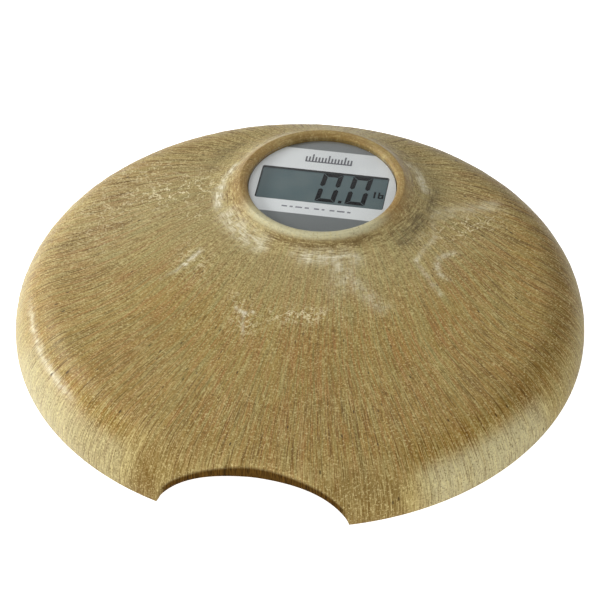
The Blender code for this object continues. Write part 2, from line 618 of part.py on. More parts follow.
def build_door():
    """Battery door that slides out towards the notch in two grooves."""
    slide = bpy.data.objects.new("door_slide", None)
    slide.parent = body_frame
    slide.location = (0.0, (TRAY_FLAT_Y + DOOR_Y1) / 2, TRAY_Z)
    scene_collection.objects.link(slide)
    half_y = (DOOR_Y1 - TRAY_FLAT_Y) / 2
    panel = block_mesh("battery_door", -DOOR_X, DOOR_X, -half_y, half_y, 0.0, DOOR_LIP + 0.6 * MM)
    door = place("battery_door", panel, TRAY_PLASTIC, parent=slide)
    wide = DOOR_X + DOOR_TONGUE
    tongue = tool(block_mesh("door_tongue", -wide, wide, -half_y, half_y, DOOR_LIP, TRAY_THICK))
    tongue.parent = slide
    add(door, tongue)
    for k in range(4):
        y = -half_y + (4.0 + 2.4 * k) * MM
        groove = tool(block_mesh("grip_groove", -9.0 * MM, 9.0 * MM, y, y + 1.2 * MM, -MM, 0.6 * MM))
        groove.parent = slide
        cut(door, groove)


def build_batteries():
    """Two AAA cells across the bay, with a coil spring and a nickel plate for each."""
    mid_z = TRAY_Z + TRAY_THICK + 2 * GAP + CELL_AAA_R + GAP
    pitch = 2 * CELL_AAA_R + 0.9 * MM
    bay_mid = (BAY_Y0 + BAY_Y1) / 2
    half = CELL_AAA_LENGTH / 2
    nub_r, nub_long = 1.9 * MM, 0.9 * MM
    shoulder = half - nub_long
    profile = [(0.0, -half), (3.6 * MM, -half), (CELL_AAA_R - 0.3 * MM, -half + 0.1 * MM),
               (CELL_AAA_R, -half + 0.5 * MM), (CELL_AAA_R, shoulder - 0.6 * MM),
               (CELL_AAA_R - 0.5 * MM, shoulder), (nub_r, shoulder), (nub_r, half - 0.2 * MM),
               (nub_r - 0.2 * MM, half), (0.0, half)]
    cell = turned_mesh("battery", profile, 16)
    cell.transform(Matrix.Rotation(math.pi / 2, 4, "Y"))
    flipped = cell.copy()
    flipped.transform(Matrix.Rotation(math.pi, 4, "Z"))
    shift = 1.4 * MM
    for k, (side, mesh) in enumerate(((-1, cell), (1, flipped)), 1):
        y = bay_mid + side * pitch / 2
        place("battery_%d" % k, mesh, BATTERY_WRAP, (-side * shift, y, mid_z))
        plate_x = -side * (BAY_X - 0.3 * MM)
        thick = side * 0.4 * MM
        x0, x1 = sorted((plate_x, plate_x + thick))
        name = "contact_plate_%d" % k
        plate = block_mesh(name, x0, x1, y - 4.6 * MM, y + 4.6 * MM, mid_z - 4.0 * MM, mid_z + 4.5 * MM)
        place(name, plate, NICKEL)
        build_spring("contact_spring_%d" % k, side, y, mid_z)


def build_spring(name, side, y, z):
    """Coil spring pressing on a battery's flat end."""
    turns, per_turn, coil_r, wire_r = 3.0, 8, 2.9 * MM, 0.35 * MM
    start, end = BAY_X - GAP - wire_r, CELL_AAA_LENGTH / 2 + 1.4 * MM + GAP + wire_r
    steps = int(turns * per_turn)
    curve = bpy.data.curves.new(name, "CURVE")
    curve.dimensions = "3D"
    curve.bevel_depth = wire_r
    curve.bevel_resolution = 0
    curve.use_fill_caps = True
    spline = curve.splines.new("POLY")
    spline.points.add(steps)
    for k in range(steps + 1):
        share = k / steps
        angle = 2.0 * math.pi * turns * share
        x = side * (start + (end - start) * share)
        spline.points[k].co = (x, y + coil_r * math.cos(angle), z + coil_r * math.sin(angle), 1.0)
    curve.materials.append(NICKEL)
    spring = bpy.data.objects.new(name, curve)
    spring.parent = body_frame
    scene_collection.objects.link(spring)


def build_button():
    """Plunger that passes a press from the underside to the switch on the board."""
    top = BUTTON_TOP_Z - TRAY_Z
    flange_z = TRAY_THICK + 2 * GAP
    flange_top = flange_z + 1.2 * MM
    stem_r = 2.2 * MM
    profile = [(0.0, 0.3 * MM), (BUTTON_R - 0.4 * MM, 0.3 * MM), (BUTTON_R, 0.7 * MM), (BUTTON_R, flange_z),
               (BUTTON_FLANGE_R, flange_z), (BUTTON_FLANGE_R, flange_top), (stem_r, flange_top),
               (stem_r, top), (0.0, top)]
    place("unit_button", turned_mesh("unit_button", profile, 20), INNER_PLASTIC, (*BUTTON_AT, TRAY_Z))


# ---------------------------------------------------------------- weighing feet
def build_feet():
    names = ("near_left", "near_right", "far_left", "far_right")
    pad = [(0.0, 0.0), (PAD_R - 0.6 * MM, 0.0), (PAD_R, 0.6 * MM), (PAD_R, PAD_THICK), (0.0, PAD_THICK)]
    pad_mesh = turned_mesh("foot_pad", pad, 24)
    cap_low = PAD_THICK + GAP
    nub_top = CELL_Z0 - FOOT_TRAVEL - GAP
    nub_r = 4.0 * MM
    cap = [(0.0, cap_low), (CAP_R - 0.8 * MM, cap_low), (CAP_R, cap_low + 0.8 * MM), (CAP_R, CAP_SHOULDER_Z),
           (CAP_FLANGE_R, CAP_SHOULDER_Z), (CAP_FLANGE_R, CAP_TOP_Z), (nub_r, CAP_TOP_Z), (nub_r, nub_top),
           (0.0, nub_top)]
    cap_mesh = turned_mesh("foot_cap", cap, 24)
    ledge_r = 17.6 * MM
    seat_r = HOLDER_R - 1.6 * MM
    roof_z = HOLDER_Z1 - 2.0 * MM
    holder = [(0.0, roof_z), (ledge_r, roof_z), (ledge_r, CELL_LEDGE_Z), (seat_r, CELL_LEDGE_Z),
              (seat_r, HOLDER_Z0), (HOLDER_R, HOLDER_Z0), (HOLDER_R, HOLDER_Z1), (0.0, HOLDER_Z1)]
    holder_mesh = turned_mesh("cell_holder", holder, 24)
    cell_mesh = load_cell_mesh()
    for name, (x, y) in zip(names, foot_places()):
        at = (x, y, 0.0)
        axis = bpy.data.objects.new("foot_axis_" + name, None)
        axis.parent = body_frame
        axis.location = at
        scene_collection.objects.link(axis)
        place("foot_pad_" + name, pad_mesh, RUBBER, parent=axis)
        place("foot_cap_" + name, cap_mesh, INNER_PLASTIC, parent=axis)
        holder_obj = place("cell_holder_" + name, holder_mesh, INNER_PLASTIC, at)
        toward = math.atan2(DISPLAY_Y - y, -x)
        slot = block_mesh("lead_slot", 14.0 * MM, 28.0 * MM, -2.5 * MM, 2.5 * MM, 10.0 * MM, CELL_Z0)
        cut(holder_obj, tool(slot, at, toward))
        cell = place("load_cell_" + name, cell_mesh, STEEL, at)
        cell.rotation_euler.z = toward


def load_cell_mesh():
    """Steel bending beam: a square plate with two slots that leave a middle tongue."""
    half = CELL_SIZE / 2
    tongue, slot = 5.5 * MM, 2.5 * MM
    reach = half - 5.0 * MM
    right = [(half, -half), (half, half), (tongue + slot, half), (tongue + slot, -reach), (tongue, -reach)]
    outline = right + [(tongue, half - 3.0 * MM)]
    outline += [(-x, y) for x, y in outline[::-1]]
    return prism_mesh("load_cell", outline, CELL_Z0, CELL_Z0 + CELL_THICK)


def build_wires():
    """Leads from the load cells and the battery bay to the board, lying in the tray."""
    end_z = BOARD_LOW_Z - GAP - 0.9 * MM
    names = ("near_left", "near_right", "far_left", "far_right")
    for name, (x, y) in zip(names, foot_places()):
        start = Vector((x, y, 0.0))
        goal = Vector((math.copysign(32.0 * MM, x), DISPLAY_Y + math.copysign(12.0 * MM, y), 0.0))
        way = (Vector((0.0, DISPLAY_Y, 0.0)) - start).normalized()
        first = start + way * 18.0 * MM
        second = start + way * 27.0 * MM
        points = [(first.x, first.y, 16.9 * MM), (second.x, second.y, 16.9 * MM)]
        if y < 0.0:
            bend = math.copysign(66.0 * MM, x)
            points += [(bend, -20.0 * MM, 14.0 * MM), (bend, 30.0 * MM, 14.0 * MM)]
        beside = goal.x + math.copysign(9.0 * MM, x)
        points += [(beside, goal.y, 18.0 * MM), (goal.x, goal.y, end_z - 1.5 * MM)]
        wire("cell_lead_" + name, points, 0.8 * MM, WIRE_WHITE)
    for colour, side, material in (("red", -1, WIRE_RED), ("black", 1, WIRE_BLACK)):
        x = side * 8.0 * MM
        inward = side * 4.8 * MM
        points = [(x, -89.5 * MM, 16.0 * MM), (x, -82.0 * MM, 14.0 * MM), (inward, -30.0 * MM, 13.2 * MM),
                  (inward, 20.0 * MM, 13.2 * MM), (inward, 46.0 * MM, 18.0 * MM),
                  (inward, 54.0 * MM, end_z - 1.5 * MM)]
        wire("battery_lead_" + colour, points, 0.8 * MM, material)


build_shell()
build_display()
build_tray()
build_door()
build_batteries()
build_button()
build_feet()
build_wires()
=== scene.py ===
"""Looks of the round bathroom scale: flowing fibre platform, recessed display, moulded underside and feet."""
import math

import bmesh
import bpy
import numpy as np
from mathutils import Matrix, Vector


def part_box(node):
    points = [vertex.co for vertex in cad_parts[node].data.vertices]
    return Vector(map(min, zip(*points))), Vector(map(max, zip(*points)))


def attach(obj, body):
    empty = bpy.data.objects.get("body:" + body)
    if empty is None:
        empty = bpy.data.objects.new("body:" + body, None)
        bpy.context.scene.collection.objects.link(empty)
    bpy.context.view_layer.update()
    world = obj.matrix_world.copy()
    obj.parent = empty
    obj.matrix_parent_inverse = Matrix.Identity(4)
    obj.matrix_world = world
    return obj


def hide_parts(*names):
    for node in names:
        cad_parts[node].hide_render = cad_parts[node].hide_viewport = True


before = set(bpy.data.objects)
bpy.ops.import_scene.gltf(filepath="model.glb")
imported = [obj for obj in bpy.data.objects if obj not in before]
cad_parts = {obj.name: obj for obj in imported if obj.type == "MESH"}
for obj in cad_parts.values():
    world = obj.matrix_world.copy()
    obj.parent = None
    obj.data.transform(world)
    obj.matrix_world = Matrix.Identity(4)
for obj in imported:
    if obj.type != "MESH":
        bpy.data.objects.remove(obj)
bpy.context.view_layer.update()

MM = 0.001

# ---------------------------------------------------------------- dimensions that the CAD model was made with
RIM_R = 160.9 * MM
EDGE_Z = 6.0 * MM
RIM_ROUND = 27.8 * MM
RIM_LAND = 3.2 * MM
WALL = 3.4 * MM
DOME_RISE = 3.0 * MM
ROUND_R0 = RIM_R - RIM_ROUND
ROUND_Z0 = EDGE_Z + RIM_LAND
DECK_ANGLE = math.atan(2.0 * DOME_RISE / ROUND_R0)
NOTCH_HALF = math.radians(18.8)
NOTCH_APEX_R = 145.1 * MM
NOTCH_POWER = 1.75
NOTCH_LIP_HIGH = 19.4 * MM
DISPLAY_Y = 78.0 * MM
BORE_R, BORE_TOP_Z = 43.4 * MM, 44.6 * MM
CREST_R, CREST_Z = 47.8 * MM, 46.4 * MM
FOOT_R = 69.0 * MM
FLARE_POWER = 2.0
BEAD_SHARE, BEAD_WIDE = 0.24, 6.4 * MM
BOSS_R, BOSS_Z = 54.0 * MM, 33.2 * MM
LENS_R = 43.0 * MM
WINDOW_X, WINDOW_Y = 75.0 * MM, 29.4 * MM

CENTRE_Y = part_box("platform_shell")[1].y - RIM_R
DISPLAY_AT = Vector((0.0, CENTRE_Y + DISPLAY_Y, 0.0))

INNER_RINGS = 27                    # rings from the lower edge back along the skin's inner face
EDDY_AT = (86.0 * MM, 25.0 * MM)    # small eddy in the flow, about the platform's centre
EDGE_ROUND = 1.0 * MM               # rounding of the platform's lower edge
BROW_ROUND = 2.6 * MM               # rounding over the notch's upright band


# ---------------------------------------------------------------- materials
class Finish:
    """A procedural material while its nodes are being put together."""

    def __init__(self, name, roughness=0.5, metallic=0.0):
        self.material = bpy.data.materials.new(name)
        self.material.use_nodes = True
        self.tree = self.material.node_tree
        self.shader = self.tree.nodes["Principled BSDF"]
        self.shader.inputs["Roughness"].default_value = roughness
        self.shader.inputs["Metallic"].default_value = metallic
        self.place = self.node("TexCoord", "Object")

    def feed(self, socket, value):
        if isinstance(value, bpy.types.NodeSocket):
            self.tree.links.new(value, socket)
        elif socket.type == "RGBA":
            socket.default_value = (*value, 1.0)
        else:
            socket.default_value = value

    def node(self, kind, output, *inputs, **settings):
        """Add a node with its settings, feed pairs of input and value, and return one output."""
        node = self.tree.nodes.new("ShaderNode" + kind)
        for setting, value in settings.items():
            setattr(node, setting, value)
        for socket, value in inputs:
            self.feed(node.inputs[socket], value)
        return node.outputs[output]

    def attribute(self, name, output="Vector"):
        return self.node("Attribute", output, attribute_name=name)

    def noise(self, vector, scale, detail=2.0, rough=0.5, distortion=0.0):
        return self.node("TexNoise", "Fac", ("Vector", vector), ("Scale", scale), ("Detail", detail),
                         ("Roughness", rough), ("Distortion", distortion))

    def grain(self, flow, across, along, detail=3.0, rough=0.65, distortion=0.0):
        """Noise drawn out along the flow."""
        return self.noise(self.scaled(flow, (across, across, along)), 1.0, detail, rough, distortion)

    def cells(self, vector, scale):
        return self.node("TexVoronoi", "Distance", ("Vector", vector), ("Scale", scale))

    def maths(self, operation, first, second=0.0):
        return self.node("Math", 0, (0, first), (1, second), operation=operation)

    def times(self, *shares):
        """Product of shares, kept between 0 and 1."""
        product = shares[0]
        for share in shares[1:]:
            product = self.node("Math", 0, (0, product), (1, share), operation="MULTIPLY", use_clamp=True)
        return product

    def scaled(self, vector, factors):
        return self.node("VectorMath", 0, (0, vector), (1, factors), operation="MULTIPLY")

    def split(self, vector):
        return self.node("SeparateXYZ", 0, (0, vector)).node.outputs

    def step(self, value, low, high, start=0.0, end=1.0):
        """Smooth change from start to end while value goes from low to high."""
        return self.node("MapRange", "Result", ("Value", value), ("From Min", low), ("From Max", high),
                         ("To Min", start), ("To Max", end), interpolation_type="SMOOTHSTEP")

    def mix(self, share, first, second):
        return self.node("Mix", 2, (0, share), (6, first), (7, second), data_type="RGBA", clamp_factor=True)

    def stain(self, colour, share, *display_colour):
        """Lay a display colour over another by a share."""
        return self.mix(share, colour, linear(*display_colour))

    def colour(self, value):
        self.feed(self.shader.inputs["Base Color"], value)

    def roughness(self, value):
        self.feed(self.shader.inputs["Roughness"], value)

    def bump(self, height, distance, strength=1.0):
        inputs = (("Strength", strength), ("Distance", distance), ("Height", height))
        self.feed(self.shader.inputs["Normal"], self.node("Bump", "Normal", *inputs))

    def surface(self, share, first, second):
        """Show two shaders, mixed by a share."""
        both = self.node("MixShader", 0, (0, share), (1, first), (2, second))
        self.feed(self.tree.nodes["Material Output"].inputs["Surface"], both)


def linear(red, green, blue):
    """Scene-linear colour of a display colour given in 0-255 steps."""
    shares = (red / 255.0, green / 255.0, blue / 255.0)
    return tuple(((c + 0.055) / 1.055) ** 2.4 if c > 0.04 else c / 12.92 for c in shares)


def fibre_strands(f, flow, zone):
    """Fine strands that stay equally fine as they fan out, swirl at the eddies and fade on the lip."""
    crater, rim = zone[0], zone[1]
    spread = f.attribute("spread", "Fac")
    strand = f.mix(f.step(spread, 0.062, 0.105), f.grain(flow, 118.0, 185.0), f.grain(flow, 185.0, 140.0))
    strand = f.mix(f.step(spread, 0.105, 0.155), strand, f.grain(flow, 270.0, 100.0))
    strand = f.mix(f.step(rim, 0.30, 0.72, 0.48, 0.0), strand, f.noise(f.place, 620.0, 2.0, 0.6))
    swirl = f.grain(f.attribute("eddy"), 9.0, 1100.0, distortion=0.3)
    strand = f.mix(f.attribute("eddy_share", "Fac"), strand, swirl)
    return f.mix(f.step(crater, 0.0525, 0.0495, 0.0, 0.5), strand, (0.5, 0.5, 0.5))


def fibre_ground(f, flow, cloud):
    """Straw and brown tones that drift along the flow."""
    swathe = f.grain(flow, 21.0, 9.0, 2.0, 0.5)
    tint = f.grain(flow, 64.0, 42.0, 3.0, 0.6, 0.3)
    colour = f.mix(f.step(cloud, 0.36, 0.64), linear(153, 130, 66), linear(142, 115, 52))
    colour = f.stain(colour, f.step(swathe, 0.52, 0.66, 0.0, 0.45), 142, 104, 54)
    colour = f.stain(colour, f.step(swathe, 0.48, 0.34, 0.0, 0.45), 154, 140, 82)
    colour = f.stain(colour, f.step(tint, 0.48, 0.66, 0.0, 0.62), 156, 108, 60)
    return f.stain(colour, f.step(tint, 0.52, 0.34, 0.0, 0.62), 142, 136, 84)


def fibre_tones(f, colour, zone, cloud):
    """Tones of the rim, the crater's surroundings and its lip."""
    crater, rim = zone[0], zone[1]
    tones = f.split(f.attribute("tones"))
    colour = f.stain(colour, f.step(rim, 0.55, 0.93, 0.0, 0.4), 138, 106, 46)
    colour = f.stain(colour, f.step(rim, 1.1, 1.6, 0.0, 0.55), 154, 144, 92)
    colour = f.stain(colour, f.step(crater, 0.135, 0.06, 0.0, 0.55), 152, 142, 100)
    colour = f.stain(colour, f.times(tones[0], f.step(cloud, 0.3, 0.6, 0.6, 1.0)), 132, 98, 46)
    # cream: the front lip's own tone, and painted light on the rim's sides
    colour = f.stain(colour, tones[1], 182, 177, 143)
    # deep brown: patches, with painted shade in the crease under the front lip and under the lip above the
    # lens
    return f.stain(colour, tones[2], 108, 82, 34)


def fibre_marks(f, colour, brow, strand, grit):
    """Pale strokes with a painted highlight, dark patches with painted shade, pale flecks, and painted shade
    on the notch band.
    """
    marks_light_shade = f.split(f.attribute("marks_light_shade"))
    # the pale strokes hold the painted shoulder highlight too; a noise breaks them up
    pale_breakup = f.step(f.noise(f.place, 230.0, 2.0, 0.6), 0.36, 0.58, 0.35, 1.1)
    colour = f.stain(colour, f.times(marks_light_shade[0], f.step(strand, 0.36, 0.60, 0.25, 1.0), pale_breakup), 212, 206, 180)
    # dark strokes, with the painted shade of the crease under the front lip
    colour = f.stain(colour, f.times(marks_light_shade[1], f.step(strand, 0.62, 0.42, 0.3, 1.0)), 70, 58, 34)
    wander = f.maths("SUBTRACT", f.noise(f.place, 130.0, 2.0, 0.6, 0.6), 0.5)
    fleck = f.times(f.step(f.maths("ABSOLUTE", wander), 0.040, 0.013), f.step(grit, 0.42, 0.52), marks_light_shade[2])
    colour = f.stain(colour, fleck, 216, 204, 164)
    # painted shade: the notch's upright band is coloured dark brown for the shade it lies in
    return f.mix(brow, colour, f.mix(f.step(strand, 0.40, 0.60), linear(46, 30, 7), linear(88, 62, 22)))


def make_fibre(name, flowing=True, gloss=0.35):
    """Pressed fibre composite: fine strands that flow away from the display crater towards the rim."""
    f = Finish(name, roughness=0.5)
    grit, cloud = f.noise(f.place, 900.0, 3.0, 0.7), f.noise(f.place, 22.0, 3.0, 0.55, 0.4)
    grit_dark, grit_pale = f.step(grit, 0.47, 0.30, 0.0, 0.8), f.step(grit, 0.53, 0.70, 0.0, 0.7)
    if flowing:
        flow = f.attribute("flow")
        zone = f.split(f.attribute("zone"))
        crater, rim, brow = zone[0], zone[1], zone[2]
        strand = fibre_strands(f, flow, zone)
        off_lip = f.step(crater, 0.047, 0.055, 0.45, 1.0)
        grit_dark, grit_pale = f.times(grit_dark, off_lip), f.times(grit_pale, off_lip)
        bark = f.cells(f.scaled(flow, (24.0, 24.0, 85.0)), 1.0)
    else:
        flow = f.scaled(f.place, (6.0, 6.0, 1.0))
        strand = f.grain(flow, 185.0, 140.0)
        bark = f.cells(f.place, 125.0)

    colour = fibre_ground(f, flow, cloud)
    if flowing:
        colour = fibre_tones(f, colour, zone, cloud)
    colour = f.stain(colour, f.step(f.grain(flow, 22.0, 22.0, 2.0, 0.5), 0.5, 0.78, 0.0, 0.4), 168, 150, 96)
    colour = f.stain(colour, f.step(strand, 0.50, 0.34, 0.0, 0.60), 92, 66, 26)
    colour = f.stain(colour, f.step(strand, 0.50, 0.66, 0.0, 0.52), 198, 183, 128)
    streak = f.step(f.grain(flow, 185.0, 36.0, 2.0, 0.6), 0.47, 0.36)
    if flowing:
        by_rim = f.times(f.step(rim, 0.35, 0.85, 0.32, 0.85), f.step(rim, 1.1, 1.4, 1.0, 0.45))
        streak = f.times(streak, by_rim, f.step(crater, 0.054, 0.070))
    colour = f.stain(colour, streak, 90, 62, 22)
    colour = f.stain(colour, grit_dark, 92, 72, 32)
    colour = f.stain(colour, grit_pale, 202, 187, 134)
    if flowing:
        colour = fibre_marks(f, colour, brow, strand, grit)

    speck = f.maths("SUBTRACT", bark, f.maths("MULTIPLY", grit, 0.12))
    pick = f.noise(f.place, 60.0, 0.0)
    speck = f.times(f.step(speck, 0.085, 0.005), f.step(pick, 0.51, 0.57), 0.85)
    f.colour(f.stain(colour, speck, 60, 44, 20))
    if flowing:
        lustre = f.attribute("lustre", "Fac")
        f.feed(f.shader.inputs["Specular IOR Level"], f.maths("MULTIPLY", lustre, gloss))
    else:
        f.shader.inputs["Specular IOR Level"].default_value = gloss
    f.roughness(f.step(strand, 0.3, 0.7, 0.36, 0.50))
    f.bump(f.mix(0.35, strand, grit), 0.10 * MM, 0.5)
    return f.material


def make_plastic(name, colour, roughness=0.5, grain=2600.0, depth=0.03, drift=0.12):
    """Moulded plastic of a display colour, with a spark-eroded grain and a slight drift in shade."""
    f = Finish(name)
    colour = linear(*colour)
    dark = tuple(c * (1.0 - drift) for c in colour)
    light = tuple(min(c * (1.0 + drift), 1.0) for c in colour)
    cloud = f.noise(f.place, 30.0, 3.0, 0.6)
    f.colour(f.mix(f.step(cloud, 0.35, 0.65), dark, light))
    texture = f.noise(f.place, grain, 2.0, 0.6)
    f.roughness(f.step(texture, 0.3, 0.7, roughness - 0.06, roughness + 0.08))
    f.bump(texture, depth * MM, 0.5)
    return f.material


def make_metal(name, colour, roughness=0.3, stretch=(1.0, 1.0, 14.0)):
    """Plated metal with fine drawing lines and a little tarnish."""
    f = Finish(name, metallic=1.0)
    lines = f.noise(f.scaled(f.place, stretch), 900.0, 2.0, 0.6)
    stain = f.noise(f.place, 160.0, 3.0, 0.6)
    f.colour(f.mix(f.step(stain, 0.4, 0.75), colour, tuple(c * 0.72 for c in colour)))
    f.roughness(f.step(lines, 0.3, 0.7, roughness - 0.08, roughness + 0.12))
    f.bump(lines, 0.01 * MM, 0.4)
    return f.material


def make_lens():
    """Clear acrylic pane: what lies below shows through, and its surface keeps a faint gloss."""
    f = Finish("clear_acrylic")
    clear = f.node("BsdfTransparent", 0, ("Color", (0.985, 0.99, 0.99)))
    smear = f.noise(f.place, 120.0, 2.0, 0.5)
    gloss = f.node("BsdfGlossy", 0, ("Roughness", f.step(smear, 0.35, 0.75, 0.05, 0.14)))
    f.surface(f.step(f.node("LayerWeight", "Facing"), 0.25, 1.0, 0.010, 0.40), clear, gloss)
    f.tree.nodes.remove(f.shader)
    return f.material


def make_print():
    """Back-printed silver band across the display with darker metallic segments beyond it."""
    f = Finish("silver_print", roughness=0.4)
    height = f.maths("SUBTRACT", f.split(f.place)[1], DISPLAY_AT.y)
    below, above = f.step(height, -25.9 * MM, -25.6 * MM), f.step(height, 33.8 * MM, 33.5 * MM)
    fleck = f.noise(f.place, 3200.0, 1.0)
    cloud = f.noise(f.place, 45.0, 2.0)
    silver = f.mix(f.step(fleck, 0.35, 0.7), linear(218, 220, 220), linear(236, 237, 236))
    silver = f.stain(silver, f.step(cloud, 0.4, 0.7, 0.0, 0.35), 206, 208, 210)
    shade = f.mix(f.step(fleck, 0.35, 0.7), linear(106, 110, 110), linear(126, 129, 128))
    f.colour(f.mix(f.times(below, above), shade, silver))
    f.roughness(f.step(fleck, 0.3, 0.7, 0.34, 0.5))
    return f.material


def make_lcd():
    """Grey-green display glass, slightly cloudy, with faint rubbing lines."""
    f = Finish("lcd_glass", roughness=0.3)
    cloud = f.noise(f.place, 70.0, 2.0)
    rubbing = f.noise(f.scaled(f.place, (1.0, 30.0, 1.0)), 400.0, 1.0)
    colour = f.mix(f.step(cloud, 0.35, 0.7), linear(79, 98, 101), linear(89, 105, 106))
    f.colour(f.stain(colour, f.step(rubbing, 0.45, 0.75, 0.0, 0.25), 101, 115, 114))
    return f.material


def make_board():
    """Green solder mask over a lattice of copper tracks."""
    f = Finish("board_green", roughness=0.35)
    cell = f.cells(f.scaled(f.place, (1.0, 1.0, 0.2)), 260.0)
    track = f.step(f.noise(f.scaled(f.place, (0.3, 3.0, 1.0)), 180.0, 0.0), 0.49, 0.53)
    colour = f.mix(track, linear(18, 78, 44), linear(36, 112, 64))
    f.colour(f.stain(colour, f.step(cell, 0.16, 0.10), 190, 168, 96))
    f.bump(track, 0.03 * MM, 0.5)
    return f.material


FIBRE = make_fibre("flowing_fibre")
FIBRE_BAND = make_fibre("notch_band_fibre", gloss=0.05)
FIBRE_RAW = make_fibre("raw_fibre", flowing=False)
LENS = make_lens()
PRINT = make_print()
# black ink of the display, also used as painted shade in the window's recess
INK_AND_SHADE = make_plastic("display_ink_and_shade", (24, 25, 27), 0.45, depth=0.005)
LCD_INK = make_plastic("reading_ink", (5, 6, 9), 0.6, depth=0.003)
LCD_INK.node_tree.nodes["Principled BSDF"].inputs["Specular IOR Level"].default_value = 0.1
MARK_INK = make_plastic("grey_ink", (86, 86, 92), 0.45, depth=0.005)
DASH_INK = make_plastic("pale_grey_ink", (126, 126, 132), 0.45, depth=0.005)
TRAY_PLASTIC = make_plastic("tray_plastic", (74, 68, 60), 0.55, depth=0.05)
INNER_PLASTIC = make_plastic("inner_plastic", (222, 219, 210), 0.5)
RUBBER = make_plastic("foot_rubber", (34, 33, 32), 0.75, grain=1500.0, depth=0.06, drift=0.2)
EPOXY = make_plastic("chip_epoxy", (22, 22, 24), 0.35)
STEEL = make_metal("bright_steel", (0.60, 0.60, 0.61), 0.28)
NICKEL = make_metal("contact_nickel", (0.68, 0.64, 0.56), 0.26)
BATTERY_WRAP = make_plastic("battery_wrap", (36, 70, 112), 0.3, drift=0.25)


# ---------------------------------------------------------------- mesh helpers
def add_piece(name, mesh, materials, body="platform", stands_for=(), slot=None, sharp=35.0):
    """Put a mesh into the scene, ride it on a CAD body and let it stand for CAD nodes, if any."""
    for material in materials:
        mesh.materials.append(material)
    mesh.shade_smooth()
    mesh.set_sharp_from_angle(angle=math.radians(sharp))
    obj = bpy.data.objects.new(name, mesh)
    bpy.context.scene.collection.objects.link(obj)
    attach(obj, body)
    if stands_for:
        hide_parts(*stands_for)
    return obj


def grid_mesh(name, points):
    """Closed mesh from an array of rings (rings, steps, 3) that wraps both ways."""
    rings, steps = points.shape[:2]
    index = np.arange(rings * steps).reshape(rings, steps)
    after = np.roll(index, -1, axis=1)
    above = np.roll(index, -1, axis=0)
    corner = np.roll(above, -1, axis=1)
    quads = np.stack([index, after, corner, above], axis=-1).reshape(-1, 4)
    mesh = bpy.data.meshes.new(name)
    mesh.from_pydata(points.reshape(-1, 3).tolist(), [], quads.tolist())
    bm = bmesh.new()
    bm.from_mesh(mesh)
    bmesh.ops.recalc_face_normals(bm, faces=bm.faces)
    bm.to_mesh(mesh)
    bm.free()
    return mesh


def add_field(mesh, name, values):
    """Store a number for each vertex, or a vector where values has a third axis."""
    kind, key = ("FLOAT_VECTOR", "vector") if values.ndim == 3 else ("FLOAT", "value")
    attribute = mesh.attributes.new(name, kind, "POINT")
    attribute.data.foreach_set(key, np.ascontiguousarray(values, dtype=np.float32).ravel())


def bridge(bm, first, second):
    """Add the faces between two loops of equally many vertices; a loop may be one vertex repeated."""
    for k in range(len(first)):
        n = (k + 1) % len(first)
        corners = list(dict.fromkeys((first[k], first[n], second[n], second[k])))
        if len(corners) > 2:
            bm.faces.new(corners)


def turned(bm, profile, centre, segments, closed=False):
    """Add a body turned about a vertical axis; profile holds (radius, z) points."""
    turns = [2.0 * math.pi * k / segments for k in range(segments)]
    rings = []
    for radius, z in profile:
        if radius <= 0.0:
            rings.append([bm.verts.new((centre[0], centre[1], z))] * segments)
        else:
            outline = [(centre[0] + radius * math.cos(a), centre[1] + radius * math.sin(a)) for a in turns]
            rings.append([bm.verts.new((x, y, z)) for x, y in outline])
    for lower, upper in zip(rings, rings[1:]):
        bridge(bm, lower, upper)
    if closed:
        bridge(bm, rings[-1], rings[0])


def prism(bm, outline, z0, z1):
    """Add an upright solid over a counter-clockwise outline."""
    low, high = ([bm.verts.new((x, y, z)) for x, y in outline] for z in (z0, z1))
    bridge(bm, low, high)
    bm.faces.new(low[::-1])
    bm.faces.new(high)


def add_solid(name, bm, materials, **how):
    """Turn a bmesh's faces outwards and add it as a piece."""
    bmesh.ops.recalc_face_normals(bm, faces=bm.faces)
    mesh = bpy.data.meshes.new(name)
    bm.to_mesh(mesh)
    bm.free()
    return add_piece(name, mesh, materials, **how)


# ---------------------------------------------------------------- platform skin
OF_SHELL = {"stands_for": ["platform_shell"], "slot": "fibre"}


def smoothstep(value):
    value = np.clip(value, 0.0, 1.0)
    return value * value * (3.0 - 2.0 * value)


def deck_height(radius, inset=0.0):
    """Height of the deck and rim over a radius; an inset gives the inner face."""
    start = ROUND_R0 + (RIM_ROUND - inset) * math.sin(DECK_ANGLE)
    edge = ROUND_Z0 + (RIM_ROUND - inset) * math.cos(DECK_ANGLE)
    dome = edge + DOME_RISE * (1.0 - (radius / start) ** 2)
    fall = ROUND_Z0 + np.sqrt(np.maximum((RIM_ROUND - inset) ** 2 - (radius - ROUND_R0) ** 2, 0.0))
    return np.where(radius < start, dome, fall)


def with_crater(x, y, height):
    """Raise the deck to the crater: a flared flank under a rounded bead."""
    beyond = np.hypot(x, y - DISPLAY_Y) - CREST_R
    flank = np.clip(1.0 - beyond / (FOOT_R - CREST_R), 0.0, 1.0) ** FLARE_POWER
    bead = 1.0 - smoothstep(beyond / BEAD_WIDE)
    return height + ((1.0 - BEAD_SHARE) * flank + BEAD_SHARE * bead) * (CREST_Z - height)


def with_boss(x, y, height):
    """Lower the inner face to the boss under the display."""
    share = 1.0 - smoothstep((np.hypot(x, y - DISPLAY_Y) - BOSS_R) / (6.0 * MM))
    return height + share * (np.minimum(BOSS_Z, height) - height)


def outer_height(x, y):
    return with_crater(x, y, deck_height(np.hypot(x, y)))


def inner_height(x, y):
    return with_boss(x, y, deck_height(np.hypot(x, y), WALL))


